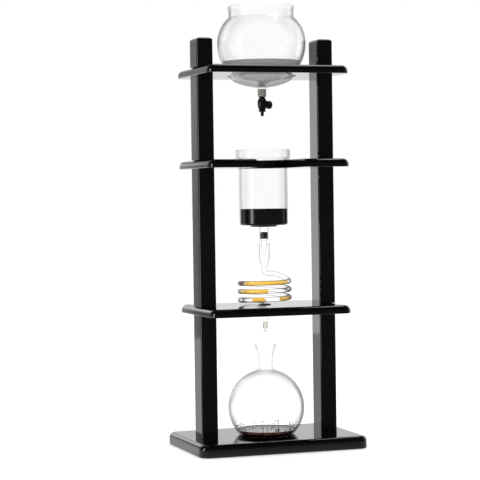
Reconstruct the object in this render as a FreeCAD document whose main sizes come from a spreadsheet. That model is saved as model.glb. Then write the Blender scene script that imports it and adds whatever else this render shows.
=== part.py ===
import FreeCAD, Part

import math
import os
import re

import Sketcher

# Cold drip coffee tower: a stand of lacquered wood that holds a water globe with a drip tap over a
# coffee chamber, a glass coil and a carafe. The origin is on the ground, under the middle of the
# base board. X runs to the right, Y to the back and Z up. All sizes are in millimetres.

SIZES = {
    # Base board
    "board_width": 320,
    "board_depth": 220,
    "board_thickness": 22.5,
    "board_corner": 20,
    "board_top_round": 9,
    "board_bottom_round": 2,
    # Foot pads
    "foot_radius": 10,
    "foot_height": 2.5,
    "foot_recess": 1.5,
    "foot_clearance": 0.25,
    "foot_inset": 28,
    "foot_chamfer": 0.5,
    # Shelves
    "shelf_width": 269,
    "shelf_depth": 203,
    "shelf_thickness": 15,
    "shelf_corner": 18,
    "shelf_top_round": 11,
    "shelf_bottom_round": 1.5,
    # Posts, in four lengths
    "post_width": 31,
    "post_depth": 45,
    "post_edge": 4,
    "post_spacing": 232,
    "lower_post_length": 223.5,
    "middle_post_length": 251.5,
    "upper_post_length": 153.5,
    "finial_height": 53.5,
    "finial_round": 8,
    # Studs and bolts inside the posts
    "stud_radius": 4,
    "stud_reach": 28,
    "stud_clearance": 0.2,
    "stud_end_gap": 2,
    "bolt_head_radius": 6.5,
    "bolt_head_height": 5,
    "bolt_head_depth": 8,
    "bolt_socket_radius": 2.5,
    "bolt_socket_depth": 3,
    "bolt_head_clearance": 0.5,
    # Holes in the shelves
    "slot_half_width": 46,
    "slot_edge_round": 1.5,
    "seat_mouth_radius": 68,
    "seat_throat_radius": 62.8,
    "seat_depth": 8.8,
    "seat_clearance": 0.08,
    "cutter_overrun": 2,
    # Rubber grommet in the lower shelf
    "grommet_bore": 5.2,
    "grommet_lead_in": 1,
    "grommet_radius": 8.5,
    "grommet_flange_radius": 11,
    "grommet_flange_height": 1.4,
    # Water globe
    "globe_radius": 81.5,
    "globe_wall": 2.5,
    "globe_centre_rise": 45,
    "shoulder_radius": 63.7,
    "globe_neck_radius": 59.7,
    "neck_blend": 1.2,
    "neck_blend_radius": 3.5,
    "globe_rim_rise": 113,
    "globe_rim_radius": 61,
    "globe_rim_height": 7,
    "rim_bead_radius": 5.4,
    "rim_top_radius": 3.6,
    "belt_bottom_radius": 57.5,
    "belt_top_radius": 69.9,
    "bowl_depth": 36,
    "bowl_cap_radius": 120,
    "bowl_edge_radius": 48.5,
    "bowl_corner_radius": 20,
    "drain_radius": 8.1,
    "drain_bore": 6.3,
    "drain_length": 16.2,
    "drain_fillet": 3.5,
    "seal_radius": 9.1,
    "seal_height": 2.2,
    "seal_round": 0.8,
    # Drip tap
    "tail_radius": 3.2,
    "tail_rise": 1.5,
    "drip_bore": 1.6,
    "collar_radius": 6,
    "collar_height": 1.9,
    "barrel_radius": 8.5,
    "barrel_height": 22,
    "barrel_end_radius": 5.6,
    "barrel_end_height": 5.5,
    "barrel_arc_radius": 7,
    "tap_shoulder_height": 3.9,
    "nozzle_radius": 3.2,
    "nozzle_length": 8.2,
    "nozzle_wall": 0.8,
    "plug_height": 8.6,
    "plug_radius": 4,
    "plug_clearance": 0.05,
    "plug_blind": 5.6,
    "plug_end_gap": 0.3,
    "knob_radius": 7.5,
    "knob_length": 9.8,
    "knob_gap": 0.3,
    "knob_socket": 5,
    "knob_back_round": 1,
    "knob_front_round": 2,
    # Coffee chamber
    "chamber_radius": 44.5,
    "chamber_wall": 2.5,
    "flange_radius": 50,
    "flange_height": 18.5,
    "flange_round": 3.5,
    "flare_depth": 14,
    "flare_radius": 3.8,
    "cap_height": 28,
    "cap_drop": 118,
    "cap_radius": 44.4,
    "cap_corner": 5,
    "boss_radius": 25,
    "boss_height": 6.8,
    "boss_round": 1,
    "spigot_height": 9,
    "spigot_clearance": 0.4,
    "spigot_lip": 3,
    "seal_ring_radius": 1.3,
    "seal_ring_rise": 1.5,
    "filter_ledge": 3,
    "filter_ledge_drop": 2.5,
    "filter_thickness": 1.5,
    "filter_clearance": 0.2,
    "funnel_outlet": 6.4,
    # Spout under the chamber
    "spout_radius": 8.4,
    "spout_wall": 1.4,
    "spout_socket": 10,
    "spout_upper_length": 8,
    "spout_ring_length": 13.8,
    "spout_stem_radius": 5.3,
    "spout_stem_length": 15.7,
    "spout_tip_radius": 3,
    "spout_tip_length": 30,
    # Glass coil
    "coil_radius": 43.8,
    "coil_pitch": 15,
    "coil_tube_radius": 4.4,
    "coil_tube_wall": 1.2,
    "coil_turn_radius": 15,
    "coil_turns": 2.577,
    "coil_run_rise": 6.3,
    "coil_link_rise": 57.5,
    "coil_link_drop": 2.5,
    "inlet_bend": 7,
    "outlet_bend": 6,
    "outlet_drop": 29,
    "sleeve_top_rise": 114.6,
    "sleeve_length": 29.6,
    "sleeve_radius": 9.8,
    "sleeve_wall": 1.1,
    "sleeve_taper": 15,
    # Carafe
    "carafe_radius": 70.5,
    "carafe_wall": 2,
    "carafe_centre_rise": 49.5,
    "carafe_foot_radius": 46,
    "carafe_foot_width": 7,
    "carafe_foot_round": 9.7,
    "carafe_joint_radius": 19,
    "carafe_neck_radius": 13.8,
    "carafe_neck_rise": 132.5,
    "carafe_neck_blend": 13.5,
    "carafe_neck_run": 3,
    "carafe_flare_radius": 65,
    "carafe_lip_radius": 20.6,
    "carafe_mouth_rise": 165.5,
    "carafe_lip_bead": 1.2,
}

document = FreeCAD.newDocument("cold_drip_coffee_tower")
sheet = document.addObject("Spreadsheet::Sheet", "Sizes")
for row, (word, number) in enumerate(SIZES.items(), start=1):
    sheet.set(f"A{row}", word)
    sheet.set(f"B{row}", str(number))
    sheet.setAlias(f"B{row}", word)
document.recompute()

# Heights above the ground, from the ground up
BOARD_BOTTOM = "(foot_height - foot_recess)"
BOARD_TOP = f"({BOARD_BOTTOM} + board_thickness)"
LOWER_BOTTOM = f"({BOARD_TOP} + lower_post_length)"
LOWER_TOP = f"({LOWER_BOTTOM} + shelf_thickness)"
MIDDLE_BOTTOM = f"({LOWER_TOP} + middle_post_length)"
MIDDLE_TOP = f"({MIDDLE_BOTTOM} + shelf_thickness)"
UPPER_BOTTOM = f"({MIDDLE_TOP} + upper_post_length)"
UPPER_TOP = f"({UPPER_BOTTOM} + shelf_thickness)"
POST_PLACE = "(post_spacing / 2)"


def linked(text):
    """An expression in which every size's name points at its cell in the sheet."""
    return re.sub(r"[a-z_]+(?!\w|\()", lambda word: f"Sizes.{word.group()}"
                  if word.group() in SIZES else word.group(), str(text))


def value(text):
    """The number that an expression gives now."""
    result = sheet.evalExpression(linked(text))
    return float(getattr(result, "Value", result))


def bind(thing, name, text):
    thing.setExpression(name, linked(text))


def new_body(label):
    body = document.addObject("PartDesign::Body", label)
    body.Label = label
    return body


def new_sketch(body, name, role, offset="0", shift="0"):
    """A sketch on one of the body's own planes, moved along its normal and up its own Y."""
    plane = next(item for item in body.Origin.OriginFeatures if item.Role == role)
    sketch = body.newObject("Sketcher::SketchObject", name)
    sketch.AttachmentSupport = [(plane, "")]
    sketch.MapMode = "FlatFace"
    bind(sketch, "AttachmentOffset.Base.z", offset)
    bind(sketch, "AttachmentOffset.Base.y", shift)
    return sketch


def place_point(sketch, geometry, position, x_text, y_text):
    """Tie a point's distances from the sketch's origin to the sheet."""
    for kind, axis, text in (("DistanceX", -2, x_text), ("DistanceY", -1, y_text)):
        if text == "0":
            sketch.addConstraint(Sketcher.Constraint("PointOnObject", geometry, position, axis))
        else:
            index = sketch.addConstraint(
                Sketcher.Constraint(kind, -1, 1, geometry, position, value(text)))
            bind(sketch, f"Constraints[{index}]", text)


def arc_between(start, end, radius, side):
    """The short arc from start to end whose centre lies on the given side of the way."""
    middle = (start + end) * 0.5
    chord = end - start
    height = math.sqrt(max(radius * radius - chord.Length * chord.Length / 4, 0))
    normal = FreeCAD.Vector(-chord.y, chord.x, 0) / chord.Length
    if side == "right":
        normal = -normal
    centre = middle + normal * height
    first, last = (start, end) if side == "left" else (end, start)
    angles = [math.atan2(p.y - centre.y, p.x - centre.x) for p in (first, last)]
    circle = Part.Circle(centre, FreeCAD.Vector(0, 0, 1), radius)
    return Part.ArcOfCircle(circle, angles[0], angles[1])


def draw_outline(sketch, corners):
    """A closed outline. A corner is (x, y), or (x, y, radius, side) where an arc leads to it."""
    points = [FreeCAD.Vector(value(corner[0]), value(corner[1]), 0) for corner in corners]
    pieces = []
    for number, corner in enumerate(corners):
        start, end = points[number - 1], points[number]
        if len(corner) == 2:
            index = sketch.addGeometry(Part.LineSegment(start, end))
            pieces.append((index, 1, 2))
        else:
            index = sketch.addGeometry(arc_between(start, end, value(corner[2]), corner[3]))
            pieces.append((index, 1, 2) if corner[3] == "left" else (index, 2, 1))
    for number, (index, first, last) in enumerate(pieces):
        following = pieces[(number + 1) % len(pieces)]
        sketch.addConstraint(
            Sketcher.Constraint("Coincident", index, last, following[0], following[1]))
    for number, corner in enumerate(corners):
        place_point(sketch, pieces[number][0], pieces[number][2], corner[0], corner[1])
        if len(corner) == 4:
            constraint = sketch.addConstraint(
                Sketcher.Constraint("Radius", pieces[number][0], value(corner[2])))
            bind(sketch, f"Constraints[{constraint}]", corner[2])
    return sketch


def draw_circles(sketch, centres, radius):
    for x_text, y_text in centres:
        centre = FreeCAD.Vector(value(x_text), value(y_text), 0)
        circle = Part.Circle(centre, FreeCAD.Vector(0, 0, 1), value(radius))
        index = sketch.addGeometry(circle)
        place_point(sketch, index, 3, x_text, y_text)
        constraint = sketch.addConstraint(Sketcher.Constraint("Radius", index, value(radius)))
        bind(sketch, f"Constraints[{constraint}]", radius)
    return sketch


def pad(body, sketch, length):
    feature = body.newObject("PartDesign::Pad", "Pad")
    feature.Profile = sketch
    bind(feature, "Length", length)
    document.recompute()
    return feature


def must_cut(body, before):
    """A cut that misses the solid is an error in the model."""
    document.recompute()
    if body.Shape.Volume > before - 0.01:
        raise RuntimeError(f"nothing was cut from {body.Label}")


def pocket(body, sketch, length, upward=False):
    """Cut a sketch's outline out, down from the sketch or up from it."""
    before = body.Shape.Volume
    feature = body.newObject("PartDesign::Pocket", "Pocket")
    feature.Profile = sketch
    feature.Reversed = upward
    bind(feature, "Length", length)
    must_cut(body, before)
    return feature


def turn(body, sketch, axis="V_Axis"):
    feature = body.newObject("PartDesign::Revolution", "Revolution")
    feature.Profile = sketch
    feature.ReferenceAxis = (sketch, [axis])
    feature.Angle = 360
    document.recompute()
    return feature


def round_edges(body, radius, test):
    """Round the edges of the body's tip that a test picks."""
    base = body.Tip
    names = [f"Edge{number}" for number, edge in enumerate(base.Shape.Edges, start=1) if test(edge)]
    feature = body.newObject("PartDesign::Fillet", "Fillet")
    feature.Base = (base, names)
    bind(feature, "Radius", radius)
    document.recompute()
    return feature


def upright(edge):
    box = edge.BoundBox
    return box.ZLength > 1 and box.XLength < 1e-4 and box.YLength < 1e-4


def at_height(text):
    level = value(text)
    return lambda edge: abs(edge.BoundBox.ZMin - level) < 1e-4 and abs(edge.BoundBox.ZMax - level) < 1e-4


def rectangle(width, depth, x_place="0"):
    """The corners of a rectangle round a point on the X axis."""
    left = f"{x_place} - {width} / 2"
    right = f"{x_place} + {width} / 2"
    return [(left, f"-{depth} / 2"), (right, f"-{depth} / 2"), (right, f"{depth} / 2"), (left, f"{depth} / 2")]


def turned(label, corners):
    """A body of revolution about the tower's axis, from an outline of radii and heights."""
    body = new_body(label)
    sketch = draw_outline(new_sketch(body, "Profile", "XZ_Plane"), corners)
    turn(body, sketch)
    return body


def board(label, size, bottom):
    """A rectangular board with rounded corners, a large round-over on top and a small one below."""
    body = new_body(label)
    sketch = draw_outline(new_sketch(body, "Plan", "XY_Plane", bottom), rectangle(f"{size}_width", f"{size}_depth"))
    pad(body, sketch, f"{size}_thickness")
    round_edges(body, f"{size}_corner", upright)
    round_edges(body, f"{size}_top_round", at_height(f"{bottom} + {size}_thickness"))
    round_edges(body, f"{size}_bottom_round", at_height(bottom))
    return body


POST_CENTRES = [(f"-{POST_PLACE}", "0"), (POST_PLACE, "0")]
FOOT_X = "(board_width / 2 - foot_inset)"
FOOT_Y = "(board_depth / 2 - foot_inset)"


def drill_studs(body, top, thickness):
    """Clearance holes through a board, in line with the posts."""
    sketch = draw_circles(new_sketch(body, "StudHoles", "XY_Plane", top), POST_CENTRES,
                          "stud_radius + stud_clearance")
    pocket(body, sketch, thickness)


def make_base_board():
    body = board("base_board", "board", BOARD_BOTTOM)
    drill_studs(body, BOARD_TOP, "board_thickness")
    heads = draw_circles(new_sketch(body, "HeadHoles", "XY_Plane", BOARD_BOTTOM), POST_CENTRES,
                         "bolt_head_radius + bolt_head_clearance")
    pocket(body, heads, "bolt_head_depth", upward=True)
    corners = [(f"{x}{FOOT_X}", f"{y}{FOOT_Y}") for x in ("-", "") for y in ("-", "")]
    feet = draw_circles(new_sketch(body, "FootRecesses", "XY_Plane", BOARD_BOTTOM), corners,
                        "foot_radius + foot_clearance")
    pocket(body, feet, "foot_recess", upward=True)
    return body


def make_foot(label, x_sign, y_sign):
    """A round pad, half sunk into the underside of the base board."""
    disc = document.addObject("Part::Cylinder", f"{label}_disc")
    bind(disc, "Radius", "foot_radius")
    bind(disc, "Height", "foot_height")
    bind(disc, "Placement.Base.x", f"{x_sign}{FOOT_X}")
    bind(disc, "Placement.Base.y", f"{y_sign}{FOOT_Y}")
    document.recompute()
    foot = document.addObject("Part::Chamfer", label)
    foot.Label = label
    foot.Base = disc
    rim = [number for number, edge in enumerate(disc.Shape.Edges, start=1) if at_height("0")(edge)]
    foot.Edges = [(number, value("foot_chamfer"), value("foot_chamfer")) for number in rim]
    return foot


def make_lower_shelf():
    body = board("lower_shelf", "shelf", LOWER_BOTTOM)
    drill_studs(body, LOWER_TOP, "shelf_thickness")
    hole = draw_circles(new_sketch(body, "OutletHole", "XY_Plane", LOWER_TOP), [("0", "0")], "grommet_radius")
    pocket(body, hole, "shelf_thickness")
    return body


def make_middle_shelf():
    """The chamber hangs in a U-shaped slot that is open at the front."""
    body = board("middle_shelf", "shelf", MIDDLE_BOTTOM)
    drill_studs(body, MIDDLE_TOP, "shelf_thickness")
    front = "-(shelf_depth / 2 + cutter_overrun)"
    corners = [
        ("-slot_half_width", front),
        ("slot_half_width", front),
        ("slot_half_width", "0"),
        ("0", "slot_half_width", "slot_half_width", "left"),
        ("-slot_half_width", "0", "slot_half_width", "left"),
    ]
    slot = draw_outline(new_sketch(body, "Slot", "XY_Plane", MIDDLE_TOP), corners)
    pocket(body, slot, "shelf_thickness")
    return body


def make_top_shelf():
    """The globe's belt sits in a conical seat at the top of a round hole."""
    body = board("top_shelf", "shelf", UPPER_BOTTOM)
    drill_studs(body, UPPER_TOP, "shelf_thickness")
    corners = [
        ("0", f"{UPPER_BOTTOM} - cutter_overrun"),
        ("seat_throat_radius", f"{UPPER_BOTTOM} - cutter_overrun"),
        ("seat_throat_radius", f"{UPPER_TOP} - seat_depth"),
        ("seat_mouth_radius", UPPER_TOP),
        ("seat_mouth_radius", f"{UPPER_TOP} + cutter_overrun"),
        ("0", f"{UPPER_TOP} + cutter_overrun"),
    ]
    before = body.Shape.Volume
    sketch = draw_outline(new_sketch(body, "Seat", "XZ_Plane"), corners)
    groove = body.newObject("PartDesign::Groove", "Groove")
    groove.Profile = sketch
    groove.ReferenceAxis = (sketch, ["V_Axis"])
    groove.Angle = 360
    must_cut(body, before)
    return body


def drill_post(body, x_place, height, upward):
    """A blind hole in a post's end, for a stud or a bolt."""
    sketch = draw_circles(new_sketch(body, "StudHole", "XY_Plane", height), [(x_place, "0")],
                          "stud_radius + stud_clearance")
    pocket(body, sketch, "stud_reach + stud_end_gap", upward)


def make_post(label, x_place, bottom, length):
    """One length of post, with a hole in each end."""
    body = new_body(label)
    sketch = draw_outline(new_sketch(body, "Section", "XY_Plane", bottom),
                          rectangle("post_width", "post_depth", x_place))
    pad(body, sketch, length)
    round_edges(body, "post_edge", upright)
    drill_post(body, x_place, bottom, True)
    drill_post(body, x_place, f"{bottom} + {length}", False)
    return body


def rounding_waste(place, half, top, sign):
    """The corner that a rounded top loses, on one side of a post."""
    edge = f"{place} {sign} {half}"
    inner = f"{place} {sign} ({half} - finial_round)"
    beyond = f"{place} {sign} ({half} + cutter_overrun)"
    side = "right" if sign == "+" else "left"
    return [
        (inner, top),
        (edge, f"{top} - finial_round", "finial_round", side),
        (beyond, f"{top} - finial_round"),
        (beyond, f"{top} + cutter_overrun"),
        (inner, f"{top} + cutter_overrun"),
    ]


def make_finial(label, x_place):
    """The post's top end, rounded over along all four edges."""
    body = new_body(label)
    sketch = draw_outline(new_sketch(body, "Section", "XY_Plane", UPPER_TOP),
                          rectangle("post_width", "post_depth", x_place))
    pad(body, sketch, "finial_height")
    round_edges(body, "post_edge", upright)
    top = f"({UPPER_TOP} + finial_height)"
    for role, place, half, across in (
        ("XZ_Plane", x_place, "(post_width / 2)", "post_depth + 2 * cutter_overrun"),
        ("YZ_Plane", "0", "(post_depth / 2)", "post_spacing + 2 * post_width"),
    ):
        for sign in ("-", "+"):
            waste = draw_outline(new_sketch(body, "Rounding", role), rounding_waste(place, half, top, sign))
            before = body.Shape.Volume
            cut = body.newObject("PartDesign::Pocket", "Rounding")
            cut.Profile = waste
            cut.Midplane = True
            bind(cut, "Length", across)
            must_cut(body, before)
    drill_post(body, x_place, UPPER_TOP, True)
    return body


def rod(name, x_place, bottom, length, radius):
    cylinder = document.addObject("Part::Cylinder", name)
    bind(cylinder, "Radius", radius)
    bind(cylinder, "Height", length)
    bind(cylinder, "Placement.Base.x", x_place)
    bind(cylinder, "Placement.Base.z", bottom)
    return cylinder


def make_studs():
    """Six plain studs, one through each shelf in each post."""
    studs = [
        rod("stud", x_place, f"{shelf} - stud_reach", "shelf_thickness + 2 * stud_reach", "stud_radius")
        for shelf in (LOWER_BOTTOM, MIDDLE_BOTTOM, UPPER_BOTTOM)
        for x_place, _ in POST_CENTRES
    ]
    group = document.addObject("Part::Compound", "shelf_studs")
    group.Label = "shelf_studs"
    group.Links = studs
    return group


def make_bolts():
    """Two bolts with round socket heads, sunk in the underside of the base board."""
    seat = f"({BOARD_BOTTOM} + bolt_head_depth)"
    bolts = []
    for x_place, _ in POST_CENTRES:
        head = rod("bolt_head", x_place, f"{seat} - bolt_head_height", "bolt_head_height", "bolt_head_radius")
        shank = rod("bolt_shank", x_place, seat, f"{BOARD_TOP} + stud_reach - {seat}", "stud_radius")
        whole = document.addObject("Part::Fuse", "bolt_blank")
        whole.Base = head
        whole.Tool = shank
        socket = rod("bolt_socket", x_place, f"{seat} - bolt_head_height", "bolt_socket_depth", "bolt_socket_radius")
        bolt = document.addObject("Part::Cut", "bolt")
        bolt.Base = whole
        bolt.Tool = socket
        bolts.append(bolt)
    group = document.addObject("Part::Compound", "base_bolts")
    group.Label = "base_bolts"
    group.Links = bolts
    return group


def make_grommet():
    """A rubber bush with a flange on the lower shelf, round the coil's outlet."""
    top = f"({LOWER_TOP} + grommet_flange_height)"
    return turned("outlet_grommet", [
        ("grommet_bore", LOWER_BOTTOM),
        ("grommet_radius", LOWER_BOTTOM),
        ("grommet_radius", LOWER_TOP),
        ("grommet_flange_radius", LOWER_TOP),
        ("grommet_flange_radius", f"{top} - grommet_flange_height / 2"),
        ("grommet_flange_radius - grommet_flange_height / 2", top, "grommet_flange_height / 2", "left"),
        ("grommet_bore + grommet_lead_in", top),
        ("grommet_bore", f"{top} - grommet_lead_in"),
    ])


# The globe's belt is a cone that matches the seat in the top shelf
SEAT_SLOPE = "((seat_mouth_radius - seat_throat_radius) / seat_depth)"
SEAT_SLANT = f"sqrt(1 + {SEAT_SLOPE} ^ 2)"
BELT_RADIUS = "(seat_mouth_radius - seat_clearance)"
BELT_BOTTOM = f"({UPPER_TOP} - ({BELT_RADIUS} - belt_bottom_radius) / {SEAT_SLOPE})"
BELT_TOP = f"({UPPER_TOP} + (belt_top_radius - {BELT_RADIUS}) / {SEAT_SLOPE})"
WALL_IN = f"(globe_wall / {SEAT_SLANT})"
WALL_UP = f"(globe_wall * {SEAT_SLOPE} / {SEAT_SLANT})"
GLOBE_CENTRE = f"({UPPER_TOP} + globe_centre_rise)"
GLOBE_RIM = f"({UPPER_TOP} + globe_rim_rise)"
BOWL_BOTTOM = f"({UPPER_TOP} - bowl_depth)"
CAP_CENTRE = f"({BOWL_BOTTOM} + bowl_cap_radius)"
DRAIN_BOTTOM = f"({BOWL_BOTTOM} - drain_length)"


def bowl_outside(radius):
    """The height of the globe's dished bottom, outside, at a radius."""
    return f"({CAP_CENTRE} - sqrt(bowl_cap_radius ^ 2 - ({radius}) ^ 2))"


def bowl_inside(radius):
    return f"({CAP_CENTRE} - sqrt((bowl_cap_radius - globe_wall) ^ 2 - ({radius}) ^ 2))"


def shoulder(radius, depth="0"):
    """The height of the globe's shoulder at a radius, at a depth inside the glass."""
    return (f"({GLOBE_CENTRE} + sqrt((shoulder_radius - {depth}) ^ 2"
            f" - ({radius} - globe_radius + shoulder_radius) ^ 2))")


def make_globe():
    """Blown glass of even wall: drain neck, dished bottom, belt, sphere, shoulder, neck and rim bead."""
    inner_edge = "(bowl_edge_radius * (bowl_cap_radius - globe_wall) / bowl_cap_radius)"
    neck_inside = "(globe_neck_radius - globe_wall)"
    return turned("globe_vessel", [
        ("drain_radius", DRAIN_BOTTOM),
        ("drain_radius", f"{bowl_outside('drain_radius + drain_fillet')} - drain_fillet"),
        ("drain_radius + drain_fillet", bowl_outside("drain_radius + drain_fillet"), "drain_fillet", "right"),
        ("bowl_edge_radius", bowl_outside("bowl_edge_radius"), "bowl_cap_radius", "left"),
        ("belt_bottom_radius", BELT_BOTTOM, "bowl_corner_radius", "left"),
        ("belt_top_radius", BELT_TOP),
        ("globe_radius", GLOBE_CENTRE, "globe_radius", "left"),
        ("globe_neck_radius + neck_blend", shoulder("globe_neck_radius + neck_blend"), "shoulder_radius", "left"),
        ("globe_neck_radius", f"{shoulder('globe_neck_radius')} + neck_blend", "neck_blend_radius", "right"),
        ("globe_neck_radius", f"{GLOBE_RIM} - globe_rim_height"),
        ("globe_rim_radius", f"{GLOBE_RIM} - globe_rim_height / 2", "rim_bead_radius", "left"),
        ("globe_neck_radius - globe_wall / 2", GLOBE_RIM, "rim_top_radius", "left"),
        (neck_inside, f"{GLOBE_RIM} - globe_wall / 2", "globe_wall / 2", "left"),
        (neck_inside, shoulder(neck_inside, "globe_wall")),
        ("globe_radius - globe_wall", GLOBE_CENTRE, "shoulder_radius - globe_wall", "right"),
        (f"belt_top_radius - {WALL_IN}", f"{BELT_TOP} + {WALL_UP}", "globe_radius - globe_wall", "right"),
        (f"belt_bottom_radius - {WALL_IN}", f"{BELT_BOTTOM} + {WALL_UP}"),
        (inner_edge, bowl_inside(inner_edge), "bowl_corner_radius - globe_wall", "right"),
        ("drain_bore", bowl_inside("drain_bore"), "bowl_cap_radius - globe_wall", "right"),
        ("drain_bore", DRAIN_BOTTOM),
    ])


SEAL_BOTTOM = bowl_inside("seal_radius")
SEAL_TOP = f"({SEAL_BOTTOM} + seal_height)"


def make_drain_seal():
    """A rubber washer on the bottom of the globe, round the tap's tail."""
    return turned("drain_seal", [
        ("tail_radius", SEAL_BOTTOM),
        ("seal_radius", SEAL_BOTTOM),
        ("seal_radius", f"{SEAL_TOP} - seal_round"),
        ("seal_radius - seal_round", SEAL_TOP, "seal_round", "left"),
        ("tail_radius", SEAL_TOP),
    ])


def make_drain_stopper():
    """A soft sleeve that fills the drain neck round the tap's tail."""
    return turned("drain_stopper", [
        ("tail_radius", DRAIN_BOTTOM),
        ("drain_bore", DRAIN_BOTTOM),
        ("drain_bore", bowl_inside("drain_bore")),
        ("tail_radius", bowl_inside("drain_bore")),
    ])


BARREL_TOP = f"({DRAIN_BOTTOM} - collar_height)"
BARREL_BOTTOM = f"({BARREL_TOP} - barrel_height)"
NOZZLE_TOP = f"({BARREL_BOTTOM} - tap_shoulder_height)"
NOZZLE_TIP = f"({NOZZLE_TOP} - nozzle_length)"
TAP_AXIS = f"({BARREL_BOTTOM} + plug_height)"
KNOB_BACK = "(barrel_radius + knob_gap)"
KNOB_FRONT = f"({KNOB_BACK} + knob_length)"


def make_tap_body():
    """An oval barrel with a drip nozzle below and a tail that goes up through the stopper."""
    body = turned("tap_body", [
        ("drip_bore", NOZZLE_TIP),
        ("drip_bore + nozzle_wall", NOZZLE_TIP),
        ("nozzle_radius", f"{NOZZLE_TIP} + nozzle_wall"),
        ("nozzle_radius", NOZZLE_TOP),
        ("barrel_end_radius", BARREL_BOTTOM),
        ("barrel_radius", f"{BARREL_BOTTOM} + barrel_end_height", "barrel_arc_radius", "left"),
        ("barrel_radius", f"{BARREL_TOP} - barrel_end_height"),
        ("barrel_end_radius", BARREL_TOP, "barrel_arc_radius", "left"),
        ("collar_radius", BARREL_TOP),
        ("collar_radius", DRAIN_BOTTOM),
        ("tail_radius", DRAIN_BOTTOM),
        ("tail_radius", f"{SEAL_TOP} + tail_rise"),
        ("drip_bore", f"{SEAL_TOP} + tail_rise"),
    ])
    start = "(barrel_radius + cutter_overrun)"
    bore = draw_circles(new_sketch(body, "PlugBore", "YZ_Plane", start, TAP_AXIS), [("0", "0")],
                        "plug_radius + plug_clearance")
    pocket(body, bore, f"{start} + plug_blind")
    return body


def make_tap_plug():
    """The turning plug, with a cross bore that lets the water through."""
    body = new_body("tap_plug")
    tail = "(plug_end_gap - plug_blind)"
    corners = [
        (tail, "0"),
        (tail, "plug_radius"),
        (f"{KNOB_BACK} + knob_socket", "plug_radius"),
        (f"{KNOB_BACK} + knob_socket", "0"),
    ]
    turn(body, draw_outline(new_sketch(body, "Profile", "XZ_Plane", "0", TAP_AXIS), corners), "H_Axis")
    top = f"({TAP_AXIS} + plug_radius + cutter_overrun)"
    bore = draw_circles(new_sketch(body, "CrossBore", "XY_Plane", top), [("0", "0")], "drip_bore")
    pocket(body, bore, "2 * (plug_radius + cutter_overrun)")
    return body


def make_tap_knob():
    body = new_body("tap_knob")
    corners = [
        (KNOB_BACK, "plug_radius"),
        (KNOB_BACK, "knob_radius - knob_back_round"),
        (f"{KNOB_BACK} + knob_back_round", "knob_radius", "knob_back_round", "right"),
        (f"{KNOB_FRONT} - knob_front_round", "knob_radius"),
        (KNOB_FRONT, "knob_radius - knob_front_round", "knob_front_round", "right"),
        (KNOB_FRONT, "0"),
        (f"{KNOB_BACK} + knob_socket", "0"),
        (f"{KNOB_BACK} + knob_socket", "plug_radius"),
    ]
    turn(body, draw_outline(new_sketch(body, "Profile", "XZ_Plane", "0", TAP_AXIS), corners), "H_Axis")
    return body


CHAMBER_RIM = f"({MIDDLE_TOP} + flange_height)"
CAP_BOTTOM = f"({MIDDLE_TOP} - cap_drop)"
CAP_TOP = f"({CAP_BOTTOM} + cap_height)"
BOSS_BOTTOM = f"({CAP_BOTTOM} - boss_height)"
CHAMBER_BORE = "(chamber_radius - chamber_wall)"
SPIGOT = f"({CHAMBER_BORE} - spigot_clearance)"
SPIGOT_TOP = f"({CAP_TOP} + spigot_height)"
LEDGE = f"({SPIGOT_TOP} - filter_ledge_drop)"
SPOUT_TOP = f"({BOSS_BOTTOM} + spout_socket)"


def make_chamber_glass():
    """A glass cylinder whose thick flared rim hangs on the middle shelf."""
    flare = f"({CHAMBER_BORE} + flare_radius)"
    return turned("chamber_glass", [
        (CHAMBER_BORE, CAP_TOP),
        ("chamber_radius", CAP_TOP),
        ("chamber_radius", MIDDLE_TOP),
        ("flange_radius - flange_round", MIDDLE_TOP),
        ("flange_radius", f"{MIDDLE_TOP} + flange_round", "flange_round", "left"),
        ("flange_radius", f"{CHAMBER_RIM} - flange_round / 2"),
        ("flange_radius - flange_round / 2", CHAMBER_RIM, "flange_round / 2", "left"),
        (flare, CHAMBER_RIM),
        (CHAMBER_BORE, f"{CHAMBER_RIM} - flare_depth"),
    ])


def make_chamber_cap():
    """The chamber's moulded bottom: outer wall, spigot with a seal groove, filter ledge and funnel."""
    groove_bottom = f"({CAP_TOP} + seal_ring_rise)"
    groove_top = f"({groove_bottom} + 2 * seal_ring_radius)"
    groove_floor = f"({CHAMBER_BORE} - 2 * seal_ring_radius)"
    lip = f"({SPIGOT} - spigot_lip)"
    return turned("chamber_cap", [
        ("spout_radius", BOSS_BOTTOM),
        ("boss_radius - boss_round", BOSS_BOTTOM),
        ("boss_radius", f"{BOSS_BOTTOM} + boss_round", "boss_round", "left"),
        ("boss_radius", CAP_BOTTOM),
        ("cap_radius - cap_corner", CAP_BOTTOM),
        ("cap_radius", f"{CAP_BOTTOM} + cap_corner", "cap_corner", "left"),
        ("cap_radius", CAP_TOP),
        (SPIGOT, CAP_TOP),
        (SPIGOT, groove_bottom),
        (groove_floor, groove_bottom),
        (groove_floor, groove_top),
        (SPIGOT, groove_top),
        (SPIGOT, SPIGOT_TOP),
        (lip, SPIGOT_TOP),
        (lip, LEDGE),
        (f"{lip} - filter_ledge", LEDGE),
        ("funnel_outlet", f"{SPOUT_TOP} + boss_round"),
        ("funnel_outlet", SPOUT_TOP),
        ("spout_radius", SPOUT_TOP),
    ])


def make_chamber_seal():
    ring = document.addObject("Part::Torus", "chamber_seal")
    ring.Label = "chamber_seal"
    bind(ring, "Radius1", f"{CHAMBER_BORE} - seal_ring_radius")
    bind(ring, "Radius2", "seal_ring_radius")
    bind(ring, "Placement.Base.z", f"{CAP_TOP} + seal_ring_rise + seal_ring_radius")
    return ring


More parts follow.
